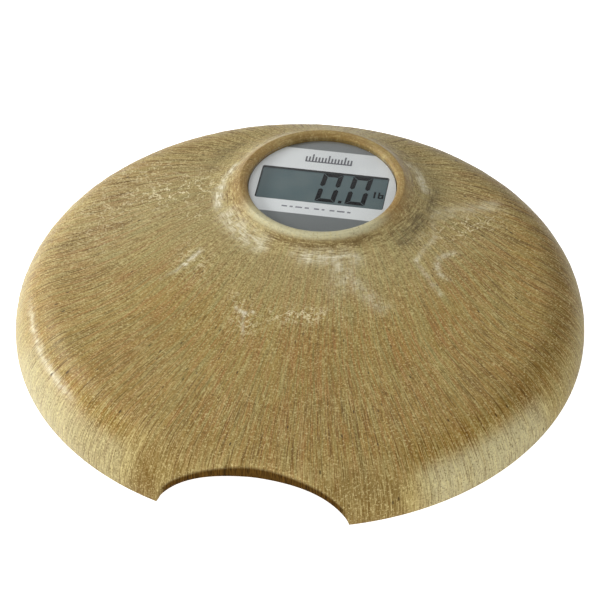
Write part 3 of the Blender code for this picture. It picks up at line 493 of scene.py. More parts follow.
def skin_angles():
    """Directions of the skin's sections: the notch's tips are among them."""
    in_notch = -math.pi / 2.0 + NOTCH_HALF * np.linspace(-1.0, 1.0, 97)
    rest = np.linspace(in_notch[-1], in_notch[0] + 2.0 * math.pi, 625)[1:-1]
    return np.concatenate([in_notch, rest])


def bezier(first, corner, last, count):
    """Points over a rounded corner; first, corner and last are (radius, z) of each section."""
    points = []
    for t in np.linspace(0.0, 1.0, count):
        a, b, c = (1.0 - t) ** 2, 2.0 * t * (1.0 - t), t * t
        points.append([a * p + b * q + c * r for p, q, r in zip(first, corner, last)])
    return points


def ring(angles, radius, centre, z):
    """One ring of the skin; its centre lies between the platform's centre and the display's."""
    x, y = radius * np.cos(angles), centre + radius * np.sin(angles)
    return np.stack([x, y, np.broadcast_to(z, x.shape)], axis=-1)


def deck_rings(angles, shares, crater_r, rim_r, height_at):
    """Rings across the deck: share 0 lies by the crater, share 1 by the rim."""
    rings = []
    for share in shares:
        radius, centre = crater_r + (rim_r - crater_r) * share, DISPLAY_Y * (1.0 - share)
        z = height_at(radius * np.cos(angles), centre + radius * np.sin(angles))
        rings.append(ring(angles, radius, centre, z))
    return rings


def crater_and_deck(angles):
    """Rings up the bore, over the crater's lip and out across the deck."""
    rings = [ring(angles, BORE_R, DISPLAY_Y, z) for z in np.linspace(BOSS_Z, BORE_TOP_Z - 0.6 * MM, 4)]
    corner, end = (BORE_R + 0.4 * MM, CREST_Z - 0.1 * MM), (CREST_R - 0.4 * MM, CREST_Z)
    rings += [ring(angles, r, DISPLAY_Y, z) for r, z in bezier((BORE_R, BORE_TOP_Z), corner, end, 8)]
    rim_r = ROUND_R0 + RIM_ROUND * math.sin(DECK_ANGLE)
    return rings + deck_rings(angles, np.linspace(0.0, 1.0, 70) ** 1.35, CREST_R, rim_r, outer_height)


def notch_shape(angles):
    """How far each section is from the notch's middle (1 outside it), its reach and its lowest height."""
    from_front = np.abs(np.remainder(angles + 1.5 * math.pi, 2.0 * math.pi) - math.pi)
    share = np.minimum(from_front / NOTCH_HALF, 1.0)
    reach = NOTCH_APEX_R + (RIM_R - NOTCH_APEX_R) * share ** NOTCH_POWER
    return share, reach, EDGE_Z + NOTCH_LIP_HIGH * (1.0 - share ** 4) ** 0.75


def rim_and_edge(angles):
    """Rings round the rim, over the notch's brow and round the lower edge, with their share of the band."""
    share, reach, low = notch_shape(angles)
    outer_end = np.arcsin(np.minimum((reach - ROUND_R0) / RIM_ROUND, 1.0))
    top = ROUND_Z0 + RIM_ROUND * np.cos(outer_end)
    trim = np.minimum(BROW_ROUND, 0.5 * (top - low - EDGE_ROUND))
    arc_end = outer_end - trim / RIM_ROUND
    rings = []
    for k in range(1, 19):
        turn = DECK_ANGLE + (arc_end - DECK_ANGLE) * k / 18.0
        radius, z = ROUND_R0 + RIM_ROUND * np.sin(turn), ROUND_Z0 + RIM_ROUND * np.cos(turn)
        raised = with_crater(radius * np.cos(angles), radius * np.sin(angles), z)
        rings.append(ring(angles, radius, 0.0, raised))
    in_band = [np.zeros(len(angles))] * len(rings)

    in_notch, inner = smoothstep((1.0 - share) / 0.10), reach - WALL
    brow = bezier((radius, z), (reach, top), (reach, top - trim), 7)[1:]
    edge = bezier((reach, low + EDGE_ROUND), (reach, low), (reach - EDGE_ROUND, low), 5)
    edge += bezier((inner + EDGE_ROUND, low), (inner, low), (inner, low + EDGE_ROUND), 4)
    rings += [ring(angles, radius, 0.0, z) for radius, z in brow + edge]
    in_band += [in_notch * smoothstep((k - 2.0) / 3.0) for k in range(len(brow))]
    return rings, in_band + [in_notch] * len(edge)


def inner_face(angles):
    """Rings back along the inside of the rim and under the deck to the boss."""
    inner, inner_round = notch_shape(angles)[1] - WALL, RIM_ROUND - WALL
    inner_end = np.arcsin(np.minimum((inner - ROUND_R0) / inner_round, 1.0))
    rings = []
    for k in range(10):
        turn = inner_end + (DECK_ANGLE - inner_end) * k / 9.0
        radius, z = ROUND_R0 + inner_round * np.sin(turn), ROUND_Z0 + inner_round * np.cos(turn)
        rings.append(ring(angles, radius, 0.0, z))
    rim_r = ROUND_R0 + inner_round * math.sin(DECK_ANGLE)
    return rings + deck_rings(angles, (0.8, 0.6, 0.4, 0.2, 0.1, 0.06, 0.03, 0.0), BOSS_R, rim_r, inner_height)


def skin_rings():
    """Rings over the outside and back along the inside, and each point's share of the notch band."""
    angles = skin_angles()
    deck, inside = crater_and_deck(angles), inner_face(angles)
    rim, band = rim_and_edge(angles)
    none = np.zeros(len(angles))
    return np.array(deck + rim + inside), np.array([none] * len(deck) + band + [none] * len(inside))


def brush(x, y, at, size, turn=0.0):
    """Soft oval patch: at and size in millimetres about the platform's centre, turn in degrees."""
    a = math.radians(turn)
    dx, dy = x / MM - at[0], y / MM - at[1]
    along = (dx * math.cos(a) + dy * math.sin(a)) / size[0]
    across = (dy * math.cos(a) - dx * math.sin(a)) / size[1]
    return np.exp(-(along * along + across * across))


def part_of_span(dx, dy, start, end):
    """Where a direction lies in a span of degrees: -1 at its start, 0 half way, 1 at its end."""
    middle, half = math.radians(0.5 * (start + end)), math.radians(0.5 * (end - start))
    return (np.remainder(np.arctan2(dy, dx) - middle + math.pi, 2.0 * math.pi) - math.pi) / half


def arc_brush(x, y, at, radius, span, width):
    """Soft stroke along an arc: centre, radius and width in millimetres, span as two angles in degrees."""
    dx, dy = x / MM - at[0], y / MM - at[1]
    ends = 1.0 - smoothstep((np.abs(part_of_span(dx, dy, *span)) - 0.6) / 0.4)
    return ends * np.exp(-((np.hypot(dx, dy) - radius) / width) ** 2)


def line_brush(x, y, start, end, width):
    """Soft stroke along a straight line between two points, all in millimetres."""
    dx, dy = end[0] - start[0], end[1] - start[1]
    length = math.hypot(dx, dy)
    px, py = x / MM - start[0], y / MM - start[1]
    along = (px * dx + py * dy) / length
    across = (py * dx - px * dy) / length
    beyond = np.maximum(np.maximum(-along, along - length), 0.0)
    return np.exp(-(across ** 2 + beyond ** 2) / width ** 2)


def spiral_brush(x, y, start, end, width):
    """Soft stroke round the crater: start and end are (radius in millimetres, degrees)."""
    dx, dy = x / MM, (y - DISPLAY_Y) / MM
    part = part_of_span(dx, dy, start[1], end[1])
    radius = 0.5 * (start[0] + end[0]) + 0.5 * (end[0] - start[0]) * np.clip(part, -1.0, 1.0)
    ends = 1.0 - smoothstep((np.abs(part) - 0.65) / 0.35)
    return ends * np.exp(-((np.hypot(dx, dy) - radius) / width) ** 2)


def eddies(x, y):
    """Direction and distance about the nearer eddy of the flow, and how strongly it turns the strands."""
    from_crater = np.hypot(x, y - DISPLAY_Y)
    dx, dy = x - EDDY_AT[0], y - EDDY_AT[1]
    from_side = np.hypot(dx, dy)
    by_side = from_side < 20.0 * MM
    turn = np.where(by_side, np.arctan2(dy, dx), np.arctan2(y - DISPLAY_Y, x))
    away = np.where(by_side, from_side, from_crater)
    share = np.where(by_side, 0.9 * (1.0 - smoothstep((from_side - 11.0 * MM) / (8.0 * MM))),
                     0.9 * (1.0 - smoothstep((from_crater - 56.0 * MM) / (20.0 * MM))))
    return np.stack([np.cos(turn), np.sin(turn), away], axis=-1), share


def strokes(x, y, rows):
    """Sum of soft strokes, each a row of its strength, its brush and what that brush needs."""
    return sum(strength * shape(x, y, *rest) for strength, shape, *rest in rows)


# silvery swirls, most of them around the crater's foot, and a painted highlight along the left shoulder
PALE_STROKES_AND_HIGHLIGHT = (
    (0.95, spiral_brush, (53.5, 160), (62.5, 208), 1.9),
    (0.6, spiral_brush, (59.0, 204), (61.5, 252), 6.0),
    (0.45, spiral_brush, (60.0, 184), (62.5, 208), 3.0),
    (0.38, spiral_brush, (59.5, 258), (62.0, 302), 4.5),
    (0.75, spiral_brush, (60.5, 4), (56.0, 38), 2.6),
    (0.3, spiral_brush, (57.0, 112), (52.0, 166), 2.4),
    (0.35, line_brush, (20, 12), (48, -17), 5.0),
    (0.25, brush, (22, -1), (7, 12)),
    (0.3, line_brush, (2, 16), (28, 20), 6.0),
    (0.55, arc_brush, (86, 25), 12.0, (80, 268), 2.0),
    (0.25, line_brush, (66, 66), (70, 49), 1.5),
    (0.35, line_brush, (70, 49), (62, 26), 1.5),
    (0.4, line_brush, (62, 26), (79, 0), 1.7),
    # painted highlight: a pale arc along the left shoulder's bend stands for the lamp's glint there
    (0.7, arc_brush, (0, 0), 151, (190, 228), 1.6),
    (0.85, line_brush, (-31, -30), (-26, -35), 1.2),
    (0.75, line_brush, (-26, -35), (-21, -33), 1.0),
    (0.45, line_brush, (-26, -36), (-23, -52), 0.9),
    (0.9, line_brush, (-60, 13), (-66, 1), 1.4),
    (0.5, line_brush, (-66, 1), (-69, -4), 1.4),
    (0.25, line_brush, (-69, -4), (-77, -13), 1.2),
    (0.35, line_brush, (70, 70), (100, 84), 5.0),
)

# darker patches beside the crater and at its far shoulder, and painted shade in the crease under the front
# lip
DARK_STROKES_AND_CREASE_SHADE = (
    (0.55, spiral_brush, (66.0, 318), (60.0, 352), 6.0),
    (0.5, spiral_brush, (63.0, 350), (66.0, 375), 3.0),
    # painted shade: the crease under the front lip
    (0.3, spiral_brush, (53.0, 236), (53.0, 318), 2.2),
    (0.3, spiral_brush, (66.0, 140), (70.0, 175), 4.0),
)

# where pale flecks lie in the surface
FLECK_FIELDS = (
    (0.95, brush, (-82, 66), (28, 13), 30),
    (0.5, brush, (-104, 84), (16, 8), 30),
    (0.85, brush, (5, -31), (20, 6), 10),
    (0.7, brush, (85, 60), (26, 10), 40),
    (0.8, brush, (-26, -36), (6, 16), 25),
    (0.6, brush, (-62, 6), (8, 16), 20),
    (0.7, brush, (-70, 43), (9, 4), 20),
    (0.35, brush, (-122, 36), (20, 40), 0),
)

CREAM_TONES = (
    (0.25, brush, (-125, 40), (45, 65)),
    (0.16, arc_brush, (0, 0), 148, (232, 308), 8),
)
# cream with painted light on the rim's lower left and lower right sides, where the lamps fall
CREAM_AND_LIGHT_SIDE_TONES = (
    (0.45, arc_brush, (0, 0), 158, (200, 250), 14),
    (0.65, arc_brush, (0, 0), 158, (-60, -20), 14),
)
# deep brown patches, with painted shade in the crease under the front lip and a painted shadow under the lip
# above the lens
DEEP_TONES_AND_SHADE = (
    (0.7, brush, (-57, -150), (19, 12), 20),
    (0.12, brush, (58, -148), (17, 12), -20),
    (0.4, arc_brush, (0, 0), 149, (-40, 30), 7),
    (0.2, arc_brush, (0, 0), 158, (225, 262), 14),
    (0.18, brush, (15, -85), (85, 55)),
    # painted shade: the crease under the front lip
    (0.75, spiral_brush, (53.0, 236), (53.0, 318), 2.4),
    (0.45, spiral_brush, (49.0, 150), (49.0, 222), 3.0),
    # painted shadow: under the lip, just above the lens
    (0.7, spiral_brush, (44.2, 44), (44.2, 136), 1.5),
)
DEEP_SIDE_TONES = (
    (0.65, arc_brush, (0, 0), 160, (280, 302), 12),
)


def skin_tones(x, y, rim):
    """Shares of the warm lip tone, the cream tone with painted light on the rim's sides, and the deep brown
    tone with painted shade.
    """
    from_crater = np.hypot(x, y - DISPLAY_Y)
    northward = np.sin(np.arctan2(y - DISPLAY_Y, x))
    facing_front = smoothstep((-northward - 0.35) / 0.5)
    facing_back = smoothstep((northward - 0.30) / 0.5)
    on_lip = 1.0 - smoothstep((from_crater - 48.6 * MM) / (3.2 * MM))
    side = smoothstep((rim - 1.05) / 0.35)
    warm = 0.75 * (1.0 - smoothstep((from_crater - 47.0 * MM) / (13.0 * MM)))
    warm = warm * (1.0 - 0.9 * facing_front) * (1.0 - 0.5 * facing_back)
    # the side strokes are painted light on the rim
    cream = 0.95 * on_lip * facing_front + strokes(x, y, CREAM_TONES) + side * strokes(x, y, CREAM_AND_LIGHT_SIDE_TONES)
    # the deep strokes hold painted shade under the lip
    deep = strokes(x, y, DEEP_TONES_AND_SHADE) + side * strokes(x, y, DEEP_SIDE_TONES)
    return warm, cream, deep


def relief(x, y, heading, travel, share, share_out):
    """Low ridges left along the flow by the pressed mat and the crease under the front lip, in metres."""
    height = np.zeros_like(heading)
    for k, turns in enumerate((17, 29, 43, 61, 88, 127)):
        fine = np.sin(turns * heading + (14.0 + 9.0 * k) * travel + 2.1 * k)
        height += fine * np.sin(3 * heading + 0.7 * k + 31.0 * travel)
    crease = spiral_brush(x, y, (52.8, 232), (52.8, 322), 2.0)
    return 0.04 * MM * height * share - 0.7 * MM * crease * share_out


def add_relief(mesh, height):
    """Move each vertex along its normal by its height."""
    count = len(mesh.vertices)
    normals = np.zeros(count * 3, dtype=np.float32)
    places = np.zeros(count * 3, dtype=np.float32)
    mesh.vertices.foreach_get("normal", normals)
    mesh.vertices.foreach_get("co", places)
    places = places.reshape(-1, 3) + normals.reshape(-1, 3) * height.reshape(-1, 1)
    mesh.vertices.foreach_set("co", places.astype(np.float32).ravel())
    mesh.update()


def skin_fields(points, brow):
    """What the fibre's material reads at each point, and how far the point stands out, in metres."""
    x, y, z = points[..., 0], points[..., 1], points[..., 2]
    travel = np.zeros_like(x)
    travel[1:] = np.cumsum(np.linalg.norm(np.diff(points, axis=0), axis=-1), axis=0)
    from_crater = np.hypot(x, y - DISPLAY_Y)
    radial = np.hypot(x, y) / RIM_R
    down = np.maximum(0.0, (ROUND_Z0 + RIM_ROUND - z) / RIM_ROUND)
    rim = radial + down * smoothstep((radial - 0.8) / 0.1)

    # strands fan out from the crater, then from the platform's centre, and bend to the left on their way
    root_y = DISPLAY_Y * (1.0 - smoothstep(from_crater / RIM_R))
    lean, spread = np.arctan2(y - root_y, x), np.hypot(x, y - root_y)
    bend = (0.34 + 0.04 * np.cos(lean)) * np.cos(lean) * smoothstep((radial - 0.2) / 0.8)
    heading = lean + bend
    eddy, eddy_share = eddies(x, y)

    # the rim is dull, apart from the polished left shoulder
    polished = smoothstep(-x / RIM_R / 0.3 - 1.6) * smoothstep((40.0 * MM - y) / (50.0 * MM))
    lustre = 1.0 - 0.75 * smoothstep((rim - 0.75) / 0.3) * (1.0 - polished)
    marks_light_shade = [strokes(x, y, rows) for rows in (PALE_STROKES_AND_HIGHLIGHT, DARK_STROKES_AND_CREASE_SHADE, FLECK_FIELDS)]

    outer = 1.0 - brow
    outer[len(points) - INNER_RINGS:] = 0.0
    outside = outer * smoothstep((from_crater - CREST_R) / (14.0 * MM))
    fields = {
        "eddy": eddy,
        "eddy_share": eddy_share,
        "flow": np.stack([np.cos(heading), np.sin(heading), travel], axis=-1),
        "lustre": lustre,
        "marks_light_shade": np.clip(np.stack(marks_light_shade, axis=-1), 0.0, 1.0),
        "spread": spread,
        "tones": np.clip(np.stack(skin_tones(x, y, rim), axis=-1), 0.0, 1.0),
        "zone": np.stack([from_crater, rim, brow], axis=-1),
    }
    return fields, relief(x, y + CENTRE_Y, heading, travel, outside, outer)


def build_skin():
    """The platform's outside and inside as one closed mesh, with its own material in the notch band."""
    points, brow = skin_rings()
    fields, height = skin_fields(points, brow)
    mesh = grid_mesh("platform_skin", points + np.array([0.0, CENTRE_Y, 0.0]))
    add_relief(mesh, height)
    for name, values in fields.items():
        add_field(mesh, name, values)
    piece = add_piece("platform_skin", mesh, [FIBRE, FIBRE_BAND], sharp=50.0, **OF_SHELL)
    in_band = np.minimum(brow, np.roll(brow, -1, axis=0)).ravel() > 0.5
    piece.data.polygons.foreach_set("material_index", in_band.astype(np.int32))


build_skin()


# ---------------------------------------------------------------- display
def build_lens():
    bm = bmesh.new()
    low, top = (corner.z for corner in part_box("display_lens"))
    edge = 0.35 * MM
    profile = [(0.0, low), (LENS_R - edge, low), (LENS_R, low + edge), (LENS_R, top - edge),
               (LENS_R - 0.3 * edge, top - 0.3 * edge), (LENS_R - edge, top), (0.0, top)]
    turned(bm, profile, DISPLAY_AT, 144)
    add_solid("lens_pane", bm, [LENS], stands_for=["display_lens"], slot="lens")


def window_point(c, s, half_x, half_y, rounding):
    """Point of a rounded rectangle's outline in the direction (c, s) from its centre."""
    c_abs, s_abs = max(abs(c), 1e-9), max(abs(s), 1e-9)
    reach = min(half_x / c_abs, half_y / s_abs)
    flat_x, flat_y = half_x - rounding, half_y - rounding
    if reach * c_abs > flat_x and reach * s_abs > flat_y:
        along = flat_x * c_abs + flat_y * s_abs
        reach = along + math.sqrt(max(along ** 2 - flat_x ** 2 - flat_y ** 2 + rounding ** 2, 0.0))
    return reach * c, reach * s


def build_mask():
    """Thin printed disc with a rectangular window whose black walls reach down to the display glass, part
    print, part painted shade.
    """
    low, top = (corner.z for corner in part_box("display_mask"))
    radius, skirt = LENS_R - 0.1 * MM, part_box("lcd_panel")[1].z + 0.15 * MM
    half_x, half_y, rounding, shade_frame_wide = WINDOW_X / 2.0, WINDOW_Y / 2.0, 1.4 * MM, 0.55 * MM
    steps, corner = 144, math.atan2(half_y, half_x)
    angles = {2.0 * math.pi * k / steps for k in range(steps)}
    for extra in (-2.4, -1.8, -1.2, -0.6, 0.0, 0.6, 1.2, 1.8, 2.4, 3.2):
        a = corner + math.radians(extra)
        angles.update((a, math.pi - a, math.pi + a, 2.0 * math.pi - a))
    turns = [(math.cos(a), math.sin(a)) for a in sorted(angles)]
    outer = [(radius * c, radius * s) for c, s in turns]
    inner, shade_frame_in, wider = ([window_point(c, s, half_x + grow, half_y + grow, rounding) for c, s in turns]
                              for grow in (0.0, -shade_frame_wide, shade_frame_wide))
    # the black walls and the lip round the window are painted shade of the recess as well as print
    sections = [(outer, low), (outer, top), (inner, top), (inner, low), (shade_frame_in, skirt + 0.1 * MM),
                (shade_frame_in, skirt), (wider, skirt), (wider, low)]
    rings = [[(DISPLAY_AT.x + px, DISPLAY_AT.y + py, z) for px, py in outline] for outline, z in sections]
    mesh = grid_mesh("mask_print", np.array(rings))
    piece = add_piece("mask_print", mesh, [PRINT, INK_AND_SHADE], stands_for=["display_mask"], slot="print", sharp=30.0)
    # faces of the window walls and lip get the black ink that paints the recess shade
    for face in piece.data.polygons:
        x, y, z = face.center - DISPLAY_AT
        if abs(x) < half_x + rounding and abs(y) < half_y + rounding and z < top - 0.01 * MM:
            face.material_index = 1


def segment_bars(width, height, thick, gap):
    """Outlines of the six lit bars of a seven-segment zero, about its centre."""
    half_w, half_h = width / 2.0, height / 2.0
    inner_w, inner_h = half_w - thick, half_h - thick
    slack = 0.9 * MM                # the gap left by the unlit middle bar
    level = [(gap - half_w, half_h), (half_w - gap, half_h), (inner_w - gap, inner_h),
             (gap - inner_w, inner_h)]
    upright = [(half_w, half_h - gap), (inner_w, inner_h - gap), (inner_w, slack + 0.5 * thick),
               (half_w - 0.5 * thick, slack), (half_w, slack + 0.4 * thick)]
    bars = []
    for side in (-1, 1):
        bars.append([(x, side * y) for x, y in level])
        for end in (-1, 1):
            bars.append([(side * x, end * y) for x, y in upright])
    return bars


def unit_strokes():
    """Outlines of the small weight unit: two stems and a square bowl."""
    half_high, half_wide = 2.8 * MM, 2.9 * MM
    boxes = [(-1.0, -0.62, -1.0, 1.0), (-0.12, 0.26, -1.0, 1.0), (0.26, 1.0, -1.0, -0.66),
             (0.26, 1.0, -0.04, 0.30), (0.62, 1.0, -0.66, -0.04)]
    return [rectangle(left * half_wide, right * half_wide, front * half_high, back * half_high)
            for left, right, front, back in boxes]


def rectangle(left, right, front, back):
    return [(left, front), (right, front), (right, back), (left, back)]


def flat_marks(name, outlines, z0, z1, material, slot=None):
    """Thin solids over several outlines, as one piece."""
    bm = bmesh.new()
    for outline in outlines:
        area = sum(a[0] * b[1] - b[0] * a[1] for a, b in zip(outline, outline[1:] + outline[:1]))
        prism(bm, outline if area > 0.0 else outline[::-1], z0, z1)
    return add_solid(name, bm, [material], slot=slot)


def on_display(outlines, dx=0.0, dy=0.0, slant=0.0):
    """Outlines moved from the display's centre to their place, and slanted like its digits."""
    left, middle_y = DISPLAY_AT.x + dx, DISPLAY_AT.y + dy
    return [[(left + x + slant * y, middle_y + y) for x, y in outline] for outline in outlines]


def box_outline(x, y, width, height):
    return rectangle(x - width / 2.0, x + width / 2.0, y - height / 2.0, y + height / 2.0)


def build_reading():
    """Lit bars of the reading, lying on the display glass."""
    slant, raised, thick = 0.07, 1.3 * MM, 0.06 * MM
    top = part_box("lcd_panel")[1].z
    digit = segment_bars(11.7 * MM, 25.6 * MM, 2.8 * MM, 0.25 * MM)
    point = box_outline(0.0, -10.3 * MM, 1.9 * MM, 2.3 * MM)
    bars = on_display(digit, 3.9 * MM, raised, slant) + on_display(digit, 21.4 * MM, raised, slant)
    bars += on_display([point], 12.6 * MM, slant=slant) + on_display(unit_strokes(), 33.2 * MM, -0.8 * MM)
    flat_marks("reading_bars", bars, top, top + thick, LCD_INK, slot="lcd")


def build_print_marks():
    """Plain ruler ticks above the window and a row of paler dashes below it."""
    top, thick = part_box("display_mask")[1].z, 0.04 * MM
    base_y, step, pen, long_tick, short_tick = 22.9 * MM, 1.9 * MM, 0.95 * MM, 6.4 * MM, 4.0 * MM
    ticks = []
    for k in range(-7, 8):
        tall = long_tick if k % 5 == 0 else short_tick
        ticks.append(box_outline(k * step, base_y + 0.5 * tall, pen, tall))
    ticks.append(box_outline(0.0, 22.5 * MM, 27.6 * MM, 1.0 * MM))
    flat_marks("print_marks", on_display(ticks), top, top + thick, MARK_INK, slot="print")

    x, dash_y, gap = -20.5 * MM, -20.1 * MM, 1.5 * MM
    dashes = []
    for length in (3.2, 1.8, 4.0, 2.4, 0.0, 3.0, 1.6, 0.0, 2.8, 4.4, 2.0):
        if length > 0.0:
            dashes.append(box_outline(x + length / 2.0 * MM, dash_y, length * MM, 1.2 * MM))
        x += length * MM + gap
    flat_marks("print_dashes", on_display(dashes), top, top + thick, DASH_INK, slot="print")


build_lens()
build_mask()
build_reading()
build_print_marks()


# ---------------------------------------------------------------- underside of the platform
TRAY_R, TRAY_FLAT_Y = 134.0 * MM, -119.5 * MM
TRAY_TOP_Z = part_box("base_tray")[0].z + 2.5 * MM
HOOP_GAP, HOOP_THICK = 0.6 * MM, 2.4 * MM
HOOP_LOW_Z, HOOP_TOP_Z = 9.6 * MM, 35.4 * MM
RIB_COUNT = 16
SPOKES = 24
FOOT_HOLE_R = 15.2 * MM
DOOR_GATE, GATE_TOP_Z = 27.6 * MM, 12.4 * MM    # half width and top of the hoop's gap for the battery door


def flat_sided_disc(radius, flat_y, steps):
    """Outline of a disc cut straight across at flat_y."""
    start = math.asin(flat_y / radius)
    sweep = math.pi - 2.0 * start
    angles = [start + sweep * k / steps for k in range(steps + 1)]
    return [(radius * math.cos(a), radius * math.sin(a)) for a in angles]


def middle(name):
    low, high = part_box(name)
    return (low + high) / 2.0


def nodes_named(start):
    return [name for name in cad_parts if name.startswith(start)]


def build_hoop():
    """Upright hoop around the tray, its lower edge relieved where the battery door passes."""
    bm = bmesh.new()
    rings = []
    step = 0.01 * MM
    outer = TRAY_R + HOOP_GAP + HOOP_THICK
    inner = TRAY_R + HOOP_GAP
    for radius, z in ((outer, HOOP_LOW_Z), (outer, HOOP_TOP_Z), (inner, HOOP_TOP_Z), (inner, HOOP_LOW_Z)):
        outline = flat_sided_disc(radius, TRAY_FLAT_Y + TRAY_R - radius, 160)
        gate = [(x, outline[0][1]) for x in (-DOOR_GATE - step, -DOOR_GATE, DOOR_GATE, DOOR_GATE + step)]
        ring = [bm.verts.new((x, CENTRE_Y + y, z)) for x, y in outline + gate]
        if z == HOOP_LOW_Z:
            ring[-3].co.z = ring[-2].co.z = GATE_TOP_Z
        rings.append(ring)
    for lower, upper in zip(rings, rings[1:] + rings[:1]):
        bridge(bm, lower, upper)
    add_solid("tray_hoop", bm, [FIBRE_RAW], **OF_SHELL)


def build_ribs():
    """Upright webs between the hoop and the rim, their lower edges softened."""
    section = [(136.0, 14.0), (158.6, 12.5), (157.8, 18.0), (155.2, 23.0), (151.0, 28.0), (146.0, 32.0),
               (136.0, 35.0)]
    bm = bmesh.new()
    for k in range(RIB_COUNT):
        angle = 2.0 * math.pi * (k + 0.5) / RIB_COUNT
        if abs(math.remainder(angle + math.pi / 2.0, 2.0 * math.pi)) < 1.3 * NOTCH_HALF:
            continue
        c, s = math.cos(angle), math.sin(angle)
        sides = []
        for w, shrink in ((-1.0, 0.35), (-0.65, 0.0), (0.65, 0.0), (1.0, 0.35)):
            side = [(r, z + shrink if z < 20.0 else z) for r, z in section]
            sides.append([bm.verts.new(((r * c - w * s) * MM, CENTRE_Y + (r * s + w * c) * MM, z * MM))
                          for r, z in side])
        for first, second in zip(sides, sides[1:]):
            bridge(bm, first, second)
        bm.faces.new(sides[0][::-1])
        bm.faces.new(sides[-1])
    add_solid("rim_ribs", bm, [FIBRE_RAW], **OF_SHELL)


def build_posts():
    """Screw posts and load-cell seats that hang from the deck inside the tray."""
    bm = bmesh.new()
    low, hole_z, hole_r = TRAY_TOP_Z + 0.3 * MM, 24.0 * MM, 1.55 * MM
    for name in nodes_named("tray_screw"):
        at = middle(name)
        root = float(deck_height(np.hypot(at.x, at.y - CENTRE_Y))) - 0.5 * WALL
        profile = [(0.0, hole_z), (hole_r, hole_z), (hole_r, low), (4.0 * MM, low),
                   (4.4 * MM, low + 0.4 * MM), (4.6 * MM, root - 2.0 * MM), (6.0 * MM, root), (0.0, root)]
        turned(bm, profile, at, 32)
    for name in nodes_named("cell_holder"):
        seat, top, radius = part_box(name)[1].z + 0.3 * MM, 36.2 * MM, 24.0 * MM
        profile = [(0.0, seat), (radius - 0.4 * MM, seat), (radius, seat + 0.4 * MM), (radius, top),
                   (0.0, top)]
        turned(bm, profile, middle(name), 64)
    add_solid("deck_posts", bm, [FIBRE_RAW], **OF_SHELL)


def arc_bar(bm, r0, r1, z0, z1, start, end, steps):
    """Add a flat bar bent along an arc about the platform's centre."""
    rings = []
    for k in range(steps + 1):
        a = start + (end - start) * k / steps
        corners = ((r0, z1), (r0, z0), (r1, z0), (r1, z1))
        rings.append([bm.verts.new((r * math.cos(a), CENTRE_Y + r * math.sin(a), z)) for r, z in corners])
    for first, second in zip(rings, rings[1:]):
        bridge(bm, first, second)
    bm.faces.new(rings[0][::-1])
    bm.faces.new(rings[-1])


def collar(bm, at, inner, outer, low, high, segments):
    """Add a raised ring with softened edges."""
    soft = 0.2 * MM
    profile = [(inner, high), (inner, low + soft), (inner + soft, low), (outer - soft, low),
               (outer, low + soft), (outer, high)]
    turned(bm, profile, at, segments, closed=True)


def build_tray_relief():
    """Collars round the feet, screws and button, spokes, a ring and an edge bead, all on the tray's face."""
    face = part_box("base_tray")[0].z
    sunk, spoke_low, bead_low = face + 0.3 * MM, face - 0.9 * MM, face - 1.0 * MM
    feet = [middle(name) for name in nodes_named("foot_pad")]
    screws = [middle(name) for name in nodes_named("tray_screw")]
    button = middle("unit_button")
    bm = bmesh.new()
    for at in feet:
        collar(bm, at, FOOT_HOLE_R + 0.5 * MM, FOOT_HOLE_R + 2.7 * MM, face - 1.2 * MM, sunk, 64)
    for at in screws:
        collar(bm, at, 3.7 * MM, 5.3 * MM, face - 0.8 * MM, sunk, 32)
    collar(bm, button, 5.2 * MM, 7.0 * MM, face - 0.8 * MM, sunk, 40)
    keep_off = [(at, FOOT_HOLE_R + 4.5 * MM) for at in feet] + [(at, 7.0 * MM) for at in screws]
    keep_off.append((button, 9.0 * MM))
    for k in range(SPOKES):
        angle = 2.0 * math.pi * (k + 0.5) / SPOKES
        run = []
        for r in np.arange(54.0, 127.0, 1.0) * MM:
            x, y = r * math.cos(angle), CENTRE_Y + r * math.sin(angle)
            by_door = abs(x) < 31.0 * MM and y < CENTRE_Y - 84.0 * MM
            off_tray = y < CENTRE_Y + TRAY_FLAT_Y + 4.0 * MM
            if by_door or off_tray or any(math.hypot(x - at.x, y - at.y) < reach for at, reach in keep_off):
                spoke(bm, run, angle, spoke_low, sunk)
                run = []
            else:
                run.append(r)
        spoke(bm, run, angle, spoke_low, sunk)
    edge = math.asin(-TRAY_FLAT_Y / TRAY_R) - math.radians(3.0)
    arc_bar(bm, 129.0 * MM, 131.2 * MM, bead_low, sunk, -edge, math.pi + edge, 160)
    collar(bm, (0.0, CENTRE_Y), 49.8 * MM, 51.8 * MM, bead_low, sunk, 144)
    add_solid("tray_relief", bm, [TRAY_PLASTIC])


def spoke(bm, run, angle, low, high):
    """Add one straight spoke over a run of radii; runs that are too short are left out."""
    if len(run) < 8:
        return
    c, s, half = math.cos(angle), math.sin(angle), 0.9 * MM
    outline = [(run[0], -half), (run[-1], -half), (run[-1], half), (run[0], half)]
    prism(bm, [(r * c - w * s, CENTRE_Y + r * s + w * c) for r, w in outline], low, high)


def build_treads():
    """Rubber pads with two grooves turned into their soles."""
    deep, soft, flare, wide = 0.6 * MM, 0.5 * MM, 0.2 * MM, 1.4 * MM
    for name in nodes_named("foot_pad"):
        low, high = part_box(name)
        radius = (high.x - low.x) / 2.0
        profile = [(0.0, low.z)]
        for r in (0.38 * radius, 0.70 * radius):
            bottom = low.z + deep
            profile += [(r, low.z), (r + flare, bottom), (r + wide - flare, bottom), (r + wide, low.z)]
        profile += [(radius - soft, low.z), (radius - 0.15 * soft, low.z + 0.3 * soft),
                    (radius, low.z + soft), (radius, high.z), (0.0, high.z)]
        bm = bmesh.new()
        turned(bm, profile, middle(name), 64)
        foot = name.replace("foot_pad", "foot")
        add_solid(name.replace("foot_pad", "foot_tread"), bm, [RUBBER], body=foot, stands_for=[name])


